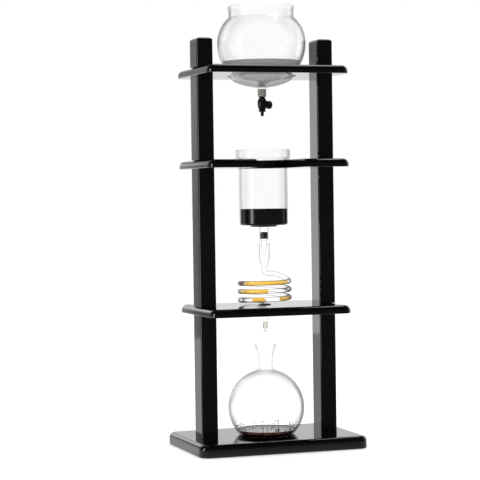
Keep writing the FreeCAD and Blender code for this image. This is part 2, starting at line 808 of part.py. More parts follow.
def make_filter_disc():
    disc = document.addObject("Part::Cylinder", "filter_disc")
    disc.Label = "filter_disc"
    bind(disc, "Radius", f"{SPIGOT} - spigot_lip - filter_clearance")
    bind(disc, "Height", "filter_thickness")
    bind(disc, "Placement.Base.z", LEDGE)
    return disc


RING_TOP = f"({BOSS_BOTTOM} - spout_upper_length)"
STEM_BOTTOM = f"({RING_TOP} - spout_stem_length)"
SPOUT_TIP = f"({STEM_BOTTOM} - spout_tip_length)"


def make_spout_tube():
    """A glass tube in the cap's boss that narrows in two steps to a drip tip."""
    return turned("spout_tube", [
        ("spout_tip_radius - spout_wall / 2", SPOUT_TIP),
        ("spout_tip_radius", SPOUT_TIP),
        ("spout_stem_radius", STEM_BOTTOM),
        ("spout_stem_radius", RING_TOP),
        ("spout_radius", RING_TOP),
        ("spout_radius", SPOUT_TOP),
        ("spout_radius - spout_wall", SPOUT_TOP),
        ("spout_radius - spout_wall", f"{RING_TOP} + spout_wall"),
        ("spout_stem_radius - spout_wall", f"{RING_TOP} + spout_wall"),
        ("spout_stem_radius - spout_wall", STEM_BOTTOM),
    ])


def make_spout_ring():
    bottom = f"({RING_TOP} - spout_ring_length)"
    return turned("spout_ring", [
        ("spout_stem_radius", bottom),
        ("spout_radius - boss_round", bottom),
        ("spout_radius", f"{bottom} + boss_round", "boss_round", "left"),
        ("spout_radius", RING_TOP),
        ("spout_stem_radius", RING_TOP),
    ])


def biarc(first, first_way, last, last_way):
    """Two arcs that join two points with given directions, as a smooth stretch of tube."""
    chord = last - first
    both = first_way + last_way
    twice = 2 * (1 - first_way.dot(last_way))
    along = chord.dot(both)
    if twice < 1e-9:
        reach = chord.Length / 2
    else:
        reach = (math.sqrt(along * along + twice * chord.dot(chord)) - along) / twice
    near = first + first_way * reach
    far = last - last_way * reach
    joint = (near + far) * 0.5
    return [single_arc(first, first_way, joint), single_arc(joint, far - near, last)]


def single_arc(first, way, last):
    """The arc that leaves a point in a direction and reaches another point."""
    chord = last - first
    way = FreeCAD.Vector(way).normalize()
    across = chord - way * chord.dot(way)
    if across.Length < 1e-6 * chord.Length:
        return Part.LineSegment(first, last).toShape()
    radius = chord.dot(chord) / (2 * across.Length)
    normal = FreeCAD.Vector(across).normalize()
    centre = first + normal * radius
    half = (first + last) * 0.5 - centre
    middle = centre + half.normalize() * radius
    return Part.Arc(first, middle, last).toShape()


def coil_stations():
    """Points of the coil's middle line, each with its direction, from the inlet to the outlet."""
    vector = FreeCAD.Vector
    base = value(LOWER_TOP)
    big = value("coil_radius")
    small = value("coil_turn_radius")
    pitch = value("coil_pitch")
    turns = value("coil_turns")
    reach = math.sqrt((big - small) ** 2 - small ** 2)
    swing = math.atan2(small, reach)
    run_height = base + value("coil_run_rise")
    link_height = base + value("coil_link_rise")
    start_height = run_height + pitch * turns
    fall = pitch / (2 * math.pi * big)
    bend = value("inlet_bend")
    link_drop = value("coil_link_drop")
    taper_end = value(SLEEVE_BOTTOM) - value("sleeve_taper")
    link_slope = link_drop / (reach - bend)
    stations = [
        (vector(0, 0, taper_end), vector(0, 0, -1)),
        (vector(0, 0, link_height + bend), vector(0, 0, -1)),
        (vector(bend, 0, link_height), vector(1, 0, -link_slope)),
        (vector(reach, 0, link_height - link_drop), vector(1, 0, -link_slope)),
    ]
    # The link turns into the first turn of the coil and comes down to its height on the way
    turn_angle = math.pi / 2 + swing
    turn_length = small * turn_angle
    turn_drop = link_height - link_drop - start_height
    for share, slope in ((0.5, 1.35 * turn_drop / turn_length), (1, fall)):
        angle = math.pi / 2 - share * turn_angle
        place = vector(reach + small * math.cos(angle), small * math.sin(angle) - small, 0)
        place.z = start_height + turn_drop * (1 - share)
        stations.append((place, vector(math.sin(angle), -math.cos(angle), -slope)))
    # Quarter turns of the helix, clockwise from above
    total = 2 * math.pi * turns
    quarters = math.ceil(total / (math.pi / 2))
    for number in range(1, quarters + 1):
        angle = -swing - total * number / quarters
        height = start_height - pitch * turns * number / quarters
        slope = fall if number < quarters else 0
        stations.append((vector(big * math.cos(angle), big * math.sin(angle), height),
                         vector(math.sin(angle), -math.cos(angle), -slope)))
    # The last turn swings in to the middle and the outlet goes down through the shelf
    end_angle = -swing - total
    centre = vector(math.cos(end_angle), math.sin(end_angle), 0) * (big - small)
    for share in (0.5, 1):
        angle = end_angle - share * turn_angle
        place = centre + vector(math.cos(angle), math.sin(angle), 0) * small
        place.z = run_height
        stations.append((place, vector(math.sin(angle), -math.cos(angle), 0)))
    inward = stations[-1][1]
    drop = value("outlet_bend")
    stations.append((vector(0, 0, run_height) - inward * drop, inward))
    stations.append((vector(0, 0, run_height - drop), vector(0, 0, -1)))
    stations.append((vector(0, 0, value(LOWER_BOTTOM) - value("outlet_drop")), vector(0, 0, -1)))
    return [(place, FreeCAD.Vector(way).normalize()) for place, way in stations]


def least_gap(edges, radius):
    """The least gap between stretches of a tube that are not neighbours, measured on points."""
    points = []
    travelled = 0
    for edge in edges:
        count = max(int(edge.Length / 2), 2)
        for number in range(count):
            distance = edge.Length * number / count
            points.append((travelled + distance, edge.valueAt(edge.getParameterByLength(distance))))
        travelled += edge.Length
    apart = min((one - other).Length for place, one in points for beyond, other in points
                if beyond - place > 10 * radius)
    return apart - 2 * radius


SLEEVE_TOP = f"({LOWER_TOP} + sleeve_top_rise)"
SLEEVE_BOTTOM = f"({SLEEVE_TOP} - sleeve_length)"


def swept_tube(path, radius):
    start = path.Edges[0].valueAt(path.Edges[0].FirstParameter)
    circle = Part.Circle(start, FreeCAD.Vector(0, 0, 1), radius)
    return path.makePipeShell([Part.Wire(circle.toShape())], True, False)


def sleeve_solid(radius, tube_radius, top):
    """The funnel-shaped inlet: a straight sleeve and a taper down to the tube."""
    outline = Part.makePolygon([
        FreeCAD.Vector(0, 0, value(SLEEVE_BOTTOM) - value("sleeve_taper")),
        FreeCAD.Vector(tube_radius, 0, value(SLEEVE_BOTTOM) - value("sleeve_taper")),
        FreeCAD.Vector(radius, 0, value(SLEEVE_BOTTOM)),
        FreeCAD.Vector(radius, 0, top),
        FreeCAD.Vector(0, 0, top),
        FreeCAD.Vector(0, 0, value(SLEEVE_BOTTOM) - value("sleeve_taper")),
    ])
    return Part.Face(outline).revolve(FreeCAD.Vector(), FreeCAD.Vector(0, 0, 1), 360)


def make_coil():
    """One glass tube: inlet sleeve, link, turns and outlet, hollow from end to end."""
    stations = coil_stations()
    edges = []
    for (first, first_way), (last, last_way) in zip(stations, stations[1:]):
        if (first_way - last_way).Length < 1e-6 and (last - first).cross(first_way).Length < 1e-6:
            edges.append(Part.LineSegment(first, last).toShape())
        else:
            edges.extend(biarc(first, first_way, last, last_way))
    path = Part.Wire(edges)
    radius = value("coil_tube_radius")
    wall = value("coil_tube_wall")
    top = value(SLEEVE_TOP)
    outside = swept_tube(path, radius).fuse(sleeve_solid(value("sleeve_radius"), radius, top))
    bore = swept_tube(path, radius - wall)
    inlet = sleeve_solid(value("sleeve_radius") - value("sleeve_wall"), radius - wall, top)
    coil = document.addObject("Part::Feature", "coil_glass")
    coil.Label = "coil_glass"
    coil.Shape = outside.cut(bore).cut(inlet).removeSplitter()
    coil.Placement = FreeCAD.Placement()
    print("coil: tube length", round(path.Length, 1), "least gap to itself",
          round(least_gap(path.Edges, radius), 2))
    return coil


CARAFE_CENTRE = f"({BOARD_TOP} + carafe_centre_rise)"
CARAFE_MOUTH = f"({BOARD_TOP} + carafe_mouth_rise)"
CARAFE_NECK = f"({BOARD_TOP} + carafe_neck_rise)"


def flask(radius, depth="0"):
    """The height of the carafe's round body above its middle, at a radius and a depth in the glass."""
    return f"sqrt((carafe_radius - {depth}) ^ 2 - ({radius}) ^ 2)"


def make_carafe():
    """A round flask of blown glass with a flat bottom, a narrow neck and a flared mouth."""
    wall = "carafe_wall"
    foot_edge = "(carafe_foot_radius + carafe_foot_width)"
    inner_foot = "(carafe_foot_radius - carafe_wall / 2)"
    inner_edge = f"({foot_edge} - carafe_wall / 2)"
    joint = "carafe_joint_radius"
    neck_end = f"({CARAFE_NECK} + carafe_neck_run)"
    return turned("carafe_glass", [
        ("0", BOARD_TOP),
        ("carafe_foot_radius", BOARD_TOP),
        (foot_edge, f"{CARAFE_CENTRE} - {flask(foot_edge)}", "carafe_foot_round", "left"),
        ("carafe_radius", CARAFE_CENTRE, "carafe_radius", "left"),
        (joint, f"{CARAFE_CENTRE} + {flask(joint)}", "carafe_radius", "left"),
        ("carafe_neck_radius", CARAFE_NECK, "carafe_neck_blend", "right"),
        ("carafe_neck_radius", neck_end),
        ("carafe_lip_radius", f"{CARAFE_MOUTH} - 2 * carafe_lip_bead", "carafe_flare_radius", "right"),
        ("carafe_lip_radius + carafe_lip_bead / 2", f"{CARAFE_MOUTH} - carafe_lip_bead", "carafe_lip_bead", "left"),
        (f"carafe_lip_radius - {wall} / 2", CARAFE_MOUTH, "2 * carafe_lip_bead", "left"),
        (f"carafe_lip_radius - {wall}", f"{CARAFE_MOUTH} - carafe_lip_bead", "carafe_lip_bead", "left"),
        (f"carafe_neck_radius - {wall}", neck_end, f"carafe_flare_radius + {wall}", "left"),
        (f"carafe_neck_radius - {wall}", CARAFE_NECK),
        (f"{joint} - {wall} / 2", f"{CARAFE_CENTRE} + {flask(f'{joint} - {wall} / 2', wall)}",
         f"carafe_neck_blend + {wall}", "left"),
        (f"carafe_radius - {wall}", CARAFE_CENTRE, f"carafe_radius - {wall}", "right"),
        (inner_edge, f"{CARAFE_CENTRE} - {flask(inner_edge, wall)}", f"carafe_radius - {wall}", "right"),
        (inner_foot, f"{BOARD_TOP} + {wall}", "carafe_foot_round", "right"),
        ("0", f"{BOARD_TOP} + {wall}"),
    ])


parts = [
    make_base_board(),
    make_foot("front_left_foot", "-", "-"),
    make_foot("front_right_foot", "", "-"),
    make_foot("rear_left_foot", "-", ""),
    make_foot("rear_right_foot", "", ""),
    make_lower_shelf(),
    make_middle_shelf(),
    make_top_shelf(),
]
for side, x_place in (("left", f"-{POST_PLACE}"), ("right", POST_PLACE)):
    parts.append(make_post(f"{side}_lower_post", x_place, BOARD_TOP, "lower_post_length"))
    parts.append(make_post(f"{side}_middle_post", x_place, LOWER_TOP, "middle_post_length"))
    parts.append(make_post(f"{side}_upper_post", x_place, MIDDLE_TOP, "upper_post_length"))
    parts.append(make_finial(f"{side}_finial", x_place))
parts += [
    make_studs(),
    make_bolts(),
    make_grommet(),
    make_globe(),
    make_drain_seal(),
    make_drain_stopper(),
    make_tap_body(),
    make_tap_plug(),
    make_tap_knob(),
    make_chamber_glass(),
    make_chamber_cap(),
    make_chamber_seal(),
    make_filter_disc(),
    make_spout_tube(),
    make_spout_ring(),
    make_coil(),
    make_carafe(),
]
document.recompute()

for item in document.Objects:
    if "Invalid" in item.State or "Error" in item.State:
        raise RuntimeError(f"{item.Label} failed: {item.State}")
for part in parts:
    if part.Shape.isNull() or not part.Shape.isValid() or not part.Shape.Solids:
        raise RuntimeError(f"{part.Label} has no valid solid")

os.makedirs("parts", exist_ok=True)
for part in parts:
    part.Shape.exportStep(f"parts/{part.Label}.step")
    print(part.Label, len(part.Shape.Solids), round(part.Shape.Volume, 1))
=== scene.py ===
import math

import bpy
import numpy as np
from bpy.props import FloatProperty, FloatVectorProperty, IntProperty, PointerProperty, StringProperty
from mathutils import Matrix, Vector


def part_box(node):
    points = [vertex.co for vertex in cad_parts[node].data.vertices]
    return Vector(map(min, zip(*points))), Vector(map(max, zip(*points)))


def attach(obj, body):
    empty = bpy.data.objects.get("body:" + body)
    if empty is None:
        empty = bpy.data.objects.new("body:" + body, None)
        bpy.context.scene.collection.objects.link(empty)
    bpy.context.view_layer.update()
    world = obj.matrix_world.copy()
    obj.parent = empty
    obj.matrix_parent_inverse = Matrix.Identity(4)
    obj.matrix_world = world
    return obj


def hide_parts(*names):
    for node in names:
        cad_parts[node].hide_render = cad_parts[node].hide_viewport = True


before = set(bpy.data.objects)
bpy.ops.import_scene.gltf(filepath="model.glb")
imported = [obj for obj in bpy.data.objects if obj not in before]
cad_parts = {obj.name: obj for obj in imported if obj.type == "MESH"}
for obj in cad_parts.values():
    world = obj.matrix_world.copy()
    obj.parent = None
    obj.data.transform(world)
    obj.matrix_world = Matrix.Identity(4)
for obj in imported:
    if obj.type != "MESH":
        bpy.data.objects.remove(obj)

bl_info = {
    "name": "Cold drip coffee tower",
    "version": (1, 0, 0),
    "blender": (4, 5, 0),
    "location": "View3D > Sidebar > Coffee tower",
    "description": "Dresses the stand, glass vessels, drip tap and coil of a cold drip coffee tower",
    "category": "Add Mesh",
}

MM = 0.001
BOARDS = ("base_board", "lower_shelf", "middle_shelf", "top_shelf")
POSTS = ("lower_post", "middle_post", "upper_post", "finial")
SIDES = ("left", "right")
FEET = ("front_left_foot", "front_right_foot", "rear_left_foot", "rear_right_foot")

# An arc of an outline has its centre to the left or to the right of the way
LEFT = 1
RIGHT = -1
ARC_STEP = math.radians(5)
SHARP_EDGE = math.radians(35)
TUBE_SIDES = 24

WHITE = (1, 1, 1, 1)
WATER_IOR = 1.333
# A colour mix has sockets of other kinds with the same names, so its own are set by number
MIX_FACTOR = 0
MIX_FIRST = 6
MIX_SECOND = 7
MIX_RESULT = 2


def level(node, end=1):
    """A CAD node's top (end 1) or bottom (end 0), in millimetres."""
    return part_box(node)[end].z / MM


SHELF_TOP = level("top_shelf")
MIDDLE_TOP = level("middle_shelf")
LOWER_TOP = level("lower_shelf")
BOARD_TOP = level("base_board")


class StandLook(bpy.types.PropertyGroup):
    lacquer_colour: StringProperty(
        name="Lacquer", description="Colour of the stand's lacquer, as sRGB hex", default="08080A")
    lacquer_roughness: FloatProperty(
        name="Lacquer roughness", description="How blurred the lacquer's reflections are",
        default=0.07, min=0, max=1)
    rubber_colour: StringProperty(
        name="Rubber", description="Colour of the feet and the grommet, as sRGB hex", default="161617")
    steel_colour: StringProperty(
        name="Steel", description="Colour of the fasteners and the filter, as sRGB hex", default="B9BBBD")


class GlassLook(bpy.types.PropertyGroup):
    water_rise: FloatProperty(
        name="Water level", description="Water level above the top shelf", default=12 * MM, unit="LENGTH")
    # Painted shade: the vessels' glass is darkened towards its edges with this colour
    vessel_edge_shade_colour: StringProperty(
        name="Vessel edge", description="Tint of the vessels' edges, as sRGB hex", default="C6C5C4")
    # Painted shade: the tubes' glass is darkened towards its edges with this colour
    edge_shade_colour: StringProperty(
        name="Tube edge", description="Tint of the tubes' edges, as sRGB hex", default="3A3531")
    # Painted shade: the water is clear, and this grey stands for the shelf's shade seen through it; it also
    # colours the water's painted glow
    water_shade_colour: StringProperty(
        name="Water", description="Tint of the water, as sRGB hex", default="A3A2A3")
    stopper_colour: StringProperty(
        name="Stopper", description="Colour of the drain's stopper, as sRGB hex", default="8F8D83")
    washer_colour: StringProperty(
        name="Washer", description="Colour of the drain's washer, as sRGB hex", default="77756D")
    ring_colour: StringProperty(
        name="Rings", description="Colour of the chamber's dark rings, as sRGB hex", default="2E2E30")
    segments: IntProperty(
        name="Segments", description="Steps round each turned piece", default=128, min=16)


class CoffeeLook(bpy.types.PropertyGroup):
    amber_colour: StringProperty(
        name="Amber", description="Colour of thin coffee in the coil, as sRGB hex", default="E9C35C")
    drip_colour: StringProperty(
        name="Drip", description="Colour of the drop at the outlet, as sRGB hex", default="F1EDE4")
    pool_colour: StringProperty(
        name="Brewed coffee", description="Colour of the carafe's coffee, as sRGB hex", default="5A3434")
    dark_colour: StringProperty(
        name="Dark coffee", description="Colour of coffee where it is deep, as sRGB hex", default="74301C")
    foam_colour: StringProperty(
        name="Foam", description="Colour of the specks above the coffee, as sRGB hex", default="3B2A27")


class TapLook(bpy.types.PropertyGroup):
    plastic_colour: StringProperty(
        name="Plastic", description="Colour of the tap and the cap, as sRGB hex", default="0E0E10")


class StudioLook(bpy.types.PropertyGroup):
    floor_colour: StringProperty(
        name="Floor", description="Colour of the floor, as sRGB hex", default="F7F7F7")
    fill_strength: FloatProperty(
        name="Fill", description="Strength of the even light from all sides", default=0.8, min=0)
    camera_place: FloatVectorProperty(
        name="Camera", description="Where the camera stands", size=3, subtype="XYZ", unit="LENGTH",
        default=(-1.0829, -3.0489, 0.4636))


def linear(hex_text):
    """An sRGB hex colour as linear RGBA."""
    shades = [int(hex_text[start:start + 2], 16) / 255 for start in (0, 2, 4)]
    light = [shade / 12.92 if shade <= 0.04045 else ((shade + 0.055) / 1.055) ** 2.4 for shade in shades]
    return light + [1.0]


def add_node(tree, kind, inputs=None, **settings):
    """One shader node. An input's value is a number, a colour or another node's output."""
    node = tree.nodes.new(kind)
    for name, setting in settings.items():
        setattr(node, name, setting)
    for key, given in (inputs or {}).items():
        if isinstance(given, bpy.types.NodeSocket):
            tree.links.new(given, node.inputs[key])
        else:
            node.inputs[key].default_value = given
    return node


def new_material(name):
    """An empty node material with its object coordinates."""
    material = bpy.data.materials.new(name)
    material.use_nodes = True
    tree = material.node_tree
    tree.nodes.clear()
    place = add_node(tree, "ShaderNodeTexCoord").outputs["Object"]
    return material, tree, place


def relief(tree, place, size_mm, height_mm, detail=2.0):
    """Soft unevenness of a given spacing and height, as a bump."""
    noise = add_node(tree, "ShaderNodeTexNoise", {
        "Vector": place, "Scale": 1 / (size_mm * MM), "Detail": detail})
    bump = add_node(tree, "ShaderNodeBump", {"Height": noise.outputs["Fac"], "Distance": height_mm * MM})
    return bump.outputs["Normal"]


def varied(tree, place, size_mm, low, high):
    """A number that drifts between two values over a given distance."""
    noise = add_node(tree, "ShaderNodeTexNoise", {
        "Vector": place, "Scale": 1 / (size_mm * MM), "Detail": 3.0})
    drift = add_node(tree, "ShaderNodeMapRange", {
        "Value": noise.outputs["Fac"], "From Min": 0.3, "From Max": 0.7, "To Min": low, "To Max": high})
    return drift.outputs[0]


def piano_lacquer(look):
    """Sprayed polyester lacquer on wood, polished: deep black, mirror-like, with a faint orange peel."""
    material, tree, place = new_material("piano_lacquer_polished")
    rough = look.lacquer_roughness
    shader = add_node(tree, "ShaderNodeBsdfPrincipled", {
        "Base Color": linear(look.lacquer_colour),
        "Roughness": varied(tree, place, size_mm=60, low=0.7 * rough, high=1.3 * rough),
        "IOR": 1.5,
        "Normal": relief(tree, place, size_mm=7, height_mm=0.004),
    })
    add_node(tree, "ShaderNodeOutputMaterial", {"Surface": shader.outputs[0]})
    return material


def moulded_rubber(name, colour):
    """Moulded rubber or silicone: dull, with a fine grain."""
    material, tree, place = new_material(name)
    shader = add_node(tree, "ShaderNodeBsdfPrincipled", {
        "Base Color": linear(colour),
        "Roughness": varied(tree, place, size_mm=3, low=0.45, high=0.6),
        "IOR": 1.5,
        "Normal": relief(tree, place, size_mm=0.6, height_mm=0.02),
    })
    add_node(tree, "ShaderNodeOutputMaterial", {"Surface": shader.outputs[0]})
    return material


def polished_abs(colour):
    """Injection-moulded ABS from a polished mould: black, glossy, very slightly wavy."""
    material, tree, place = new_material("abs_moulded_gloss_black")
    shader = add_node(tree, "ShaderNodeBsdfPrincipled", {
        "Base Color": linear(colour),
        "Roughness": varied(tree, place, size_mm=8, low=0.12, high=0.2),
        "IOR": 1.46,
        "Normal": relief(tree, place, size_mm=5, height_mm=0.01),
    })
    add_node(tree, "ShaderNodeOutputMaterial", {"Surface": shader.outputs[0]})
    return material


def zinc_steel(colour):
    """Zinc-plated steel: grey, softly mottled."""
    material, tree, place = new_material("steel_zinc_plated")
    shader = add_node(tree, "ShaderNodeBsdfPrincipled", {
        "Base Color": linear(colour),
        "Metallic": 1.0,
        "Roughness": varied(tree, place, size_mm=2, low=0.25, high=0.4),
    })
    add_node(tree, "ShaderNodeOutputMaterial", {"Surface": shader.outputs[0]})
    return material


def thin_glass(name, edge_shade_colour, edge_start=0.5):
    """Borosilicate glass with a thin wall: it doesn't bend what is behind it, and its edges are darker by
    painted shade.

    The painted edge shade and the gloss both grow from where the glass faces the eye to where it is seen
    edge on. The shade stands in for the darker surroundings that glass bends and mirrors into view at its
    edges."""
    material, tree, place = new_material(name)
    wavy = relief(tree, place, size_mm=12, height_mm=0.02, detail=0.0)
    facing = add_node(tree, "ShaderNodeLayerWeight", {"Blend": 0.5, "Normal": wavy}).outputs["Facing"]
    edge = add_node(tree, "ShaderNodeMapRange", {
        "Value": facing, "From Min": edge_start, "From Max": 1.0}, interpolation_type="SMOOTHSTEP")
    # Painted shade: the clear glass turns to the edge colour where it is seen edge on
    shade = add_node(tree, "ShaderNodeMix", {
        MIX_FACTOR: edge.outputs[0], MIX_FIRST: WHITE, MIX_SECOND: linear(edge_shade_colour)}, data_type="RGBA")
    clear = add_node(tree, "ShaderNodeBsdfTransparent", {"Color": shade.outputs[MIX_RESULT]})
    gloss = add_node(tree, "ShaderNodeBsdfGlossy", {"Color": WHITE, "Roughness": 0.03, "Normal": wavy})
    share = add_node(tree, "ShaderNodeMapRange", {
        "Value": facing, "From Min": 0.2, "From Max": 1.0, "To Min": 0.012, "To Max": 0.22})
    surface = add_node(tree, "ShaderNodeMixShader", {
        0: share.outputs[0], 1: clear.outputs[0], 2: gloss.outputs[0]})
    add_node(tree, "ShaderNodeOutputMaterial", {"Surface": surface.outputs[0]})
    return material


def clear_liquid(name, colour, cloudiness_and_painted_glow=0.0):
    """Water or coffee: still, with a faint drift in its tint, and as cloudy as asked.

    The cloud makes it rougher and shows less through it. It also gives the liquid a painted glow of its own
    colour, painted light that brightens it."""
    material, tree, place = new_material(name)
    drift_size = 9 * MM
    drift = add_node(tree, "ShaderNodeTexNoise", {"Vector": place, "Scale": 1 / drift_size, "Detail": 1.0})
    deeper = [shade * 0.92 for shade in linear(colour)[:3]] + [1.0]
    tint = add_node(tree, "ShaderNodeMix", {
        MIX_FACTOR: drift.outputs["Fac"], MIX_FIRST: linear(colour), MIX_SECOND: deeper}, data_type="RGBA")
    shader = add_node(tree, "ShaderNodeBsdfPrincipled", {
        "Base Color": tint.outputs[MIX_RESULT],
        "Roughness": 0.4 * cloudiness_and_painted_glow,
        "IOR": WATER_IOR,
        "Transmission Weight": 1.0 - cloudiness_and_painted_glow,
        # Painted glow: the liquid gives off light of its own colour, as strong as it is cloudy
        "Emission Color": linear(colour),
        "Emission Strength": 0.6 * cloudiness_and_painted_glow,
    })
    add_node(tree, "ShaderNodeOutputMaterial", {"Surface": shader.outputs[0]})
    return material


def arc_points(start, end, radius, side, count):
    """The short arc from start to end, a centre plus the radius times cosine and sine of even angles."""
    start, end = np.array(start, float), np.array(end, float)
    chord = end - start
    length = np.hypot(*chord)
    height = math.sqrt(max(radius * radius - length * length / 4, 0))
    centre = (start + end) / 2 + side * height * np.array([-chord[1], chord[0]]) / length
    first = math.atan2(*(start - centre)[::-1])
    swing = 2 * math.asin(min(length / 2 / radius, 1)) * side
    angles = first + swing * np.linspace(0, 1, count + 1)[1:]
    return centre + radius * np.stack([np.cos(angles), np.sin(angles)], axis=1)


def outline(corners):
    """Points of an outline in millimetres. A corner is (r, z), or (r, z, radius, side) after an arc."""
    points = [np.array(corners[0][:2], float)]
    for corner in corners[1:]:
        start = points[-1]
        if len(corner) == 2:
            points.append(np.array(corner, float))
            continue
        radius, side = corner[2:]
        length = np.hypot(*(np.array(corner[:2]) - start))
        swing = 2 * math.asin(min(length / 2 / radius, 1))
        count = max(int(math.ceil(swing / ARC_STEP)), 3)
        points.extend(arc_points(start, corner[:2], radius, side, count))
    return np.array(points)


def add_piece(name, vertices, faces, body, material, replaced=(), slot=None):
    """A mesh in metres that rides on a body, smooth but for its sharp edges."""
    mesh = bpy.data.meshes.new(name)
    mesh.from_pydata(np.asarray(vertices).tolist(), [], faces)
    mesh.update()
    mesh.polygons.foreach_set("use_smooth", [True] * len(mesh.polygons))
    mesh.set_sharp_from_angle(angle=SHARP_EDGE)
    mesh.materials.append(material)
    piece = bpy.data.objects.new(name, mesh)
    bpy.context.scene.collection.objects.link(piece)
    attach(piece, body)
    if replaced:
        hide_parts(*replaced)
    return piece


def grid_faces(rows, columns, closed_rows=False):
    """Faces of a grid that closes round its columns, and along its rows if asked."""
    row = np.arange(rows if closed_rows else rows - 1)[:, None]
    column = np.arange(columns)[None, :]
    below = row * columns
    above = ((row + 1) % rows) * columns
    following = (column + 1) % columns
    faces = np.stack([below + column, below + following, above + following, above + column], axis=-1)
    return faces.reshape(-1, 4)


def turned_piece(name, corners, body, material, segments, axis="Z", centre_height=0.0, **marks):
    """A solid of revolution: a point (r, z) of the outline goes round as r cosine, r sine and z.

    The outline runs so that the solid lies on its left, and it closes by itself."""
    points = outline(corners)
    angles = np.linspace(0, 2 * math.pi, segments, endpoint=False)
    along = np.repeat(points[:, 1:], segments, axis=1)
    first = points[:, :1] * np.cos(angles)
    second = points[:, :1] * np.sin(angles)
    if axis == "Z":
        places = np.stack([first, second, along], axis=-1)
    else:
        places = np.stack([along, first, second + centre_height], axis=-1)
    vertices = places.reshape(-1, 3) * MM
    on_axis = points[:, 0] < 1e-6
    faces = grid_faces(len(points), segments, closed_rows=not on_axis.any())
    # A row on the axis is one place, so its vertices become one and the faces that meet it triangles
    numbers = np.arange(len(vertices))
    merged = np.where(np.repeat(on_axis, segments), numbers // segments * segments, numbers)
    kept, order = np.unique(merged, return_inverse=True)
    faces = [list(dict.fromkeys(face)) for face in order[faces].tolist()]
    faces = [face for face in faces if len(face) > 2]
    return add_piece(name, vertices[kept], faces, body, material, **marks)


def swept_rings(route, radii, sides=TUBE_SIDES):
    """Rings round a route: a point of it plus the radius times cosine and sine of two ways across it.

    The first way across is the one of the ring before, less what it has along the route."""
    ways = np.gradient(route, axis=0)
    ways /= np.linalg.norm(ways, axis=1)[:, None]
    across = np.zeros_like(route)
    across[0] = np.cross(ways[0], (0, 1, 0))
    for number in range(1, len(route)):
        carried = across[number - 1] - ways[number] * np.dot(across[number - 1], ways[number])
        across[number] = carried / np.linalg.norm(carried)
    beside = np.cross(ways, across)
    angles = np.linspace(0, 2 * math.pi, sides, endpoint=False)
    circle = (np.cos(angles)[None, :, None] * across[:, None, :]
              + np.sin(angles)[None, :, None] * beside[:, None, :])
    return (route[:, None, :] + radii[:, None, None] * circle).reshape(-1, 3)


def swept_piece(name, route, radius, body, material, **marks):
    """A solid of one radius round a route, with a flat cap at each end."""
    rings = swept_rings(route, np.full(len(route), radius))
    faces = grid_faces(len(route), TUBE_SIDES)[:, ::-1].tolist()
    faces.append(list(range(TUBE_SIDES)))
    faces.append(list(range(len(rings) - 1, len(rings) - TUBE_SIDES - 1, -1)))
    return add_piece(name, rings * MM, faces, body, material, **marks)


def paint_node(name, material):
    """A CAD node keeps its shape and gets its finish."""
    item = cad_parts[name]
    item.data.materials.clear()
    item.data.materials.append(material)


class TOWER_OT_stand(bpy.types.Operator):
    """Finish the boards, posts, feet and hidden fasteners"""
    bl_idname = "tower.stand"
    bl_label = "Stand"

    def execute(self, context):
        look = context.scene.tower_stand
        lacquer = piano_lacquer(look)
        rubber = moulded_rubber("rubber_moulded_black", look.rubber_colour)
        for board in BOARDS:
            paint_node(board, lacquer)
        for side in SIDES:
            for post in POSTS:
                paint_node(f"{side}_{post}", lacquer)
        for foot in FEET + ("outlet_grommet",):
            paint_node(foot, rubber)
        steel = zinc_steel(look.steel_colour)
        for fastener in ("shelf_studs", "base_bolts"):
            paint_node(fastener, steel)
        return {"FINISHED"}


# The globe in millimetres, with heights above the top shelf
GLOBE_RADIUS = 81.5
GLOBE_CENTRE = 45
GLOBE_WALL = 1.2
SHOULDER_RADIUS = 63.7
NECK_RADIUS = 59.7
NECK_BLEND = 3.5
DISH_RADIUS = 120
DISH_CORNER = 20
DRAIN_RADIUS = 8.1
DRAIN_BORE = 7.7
DRAIN_BOTTOM = -52.2
WATER_GAP = 0.1
MENISCUS_WIDTH = 2.2
MENISCUS_HEIGHT = 1.3


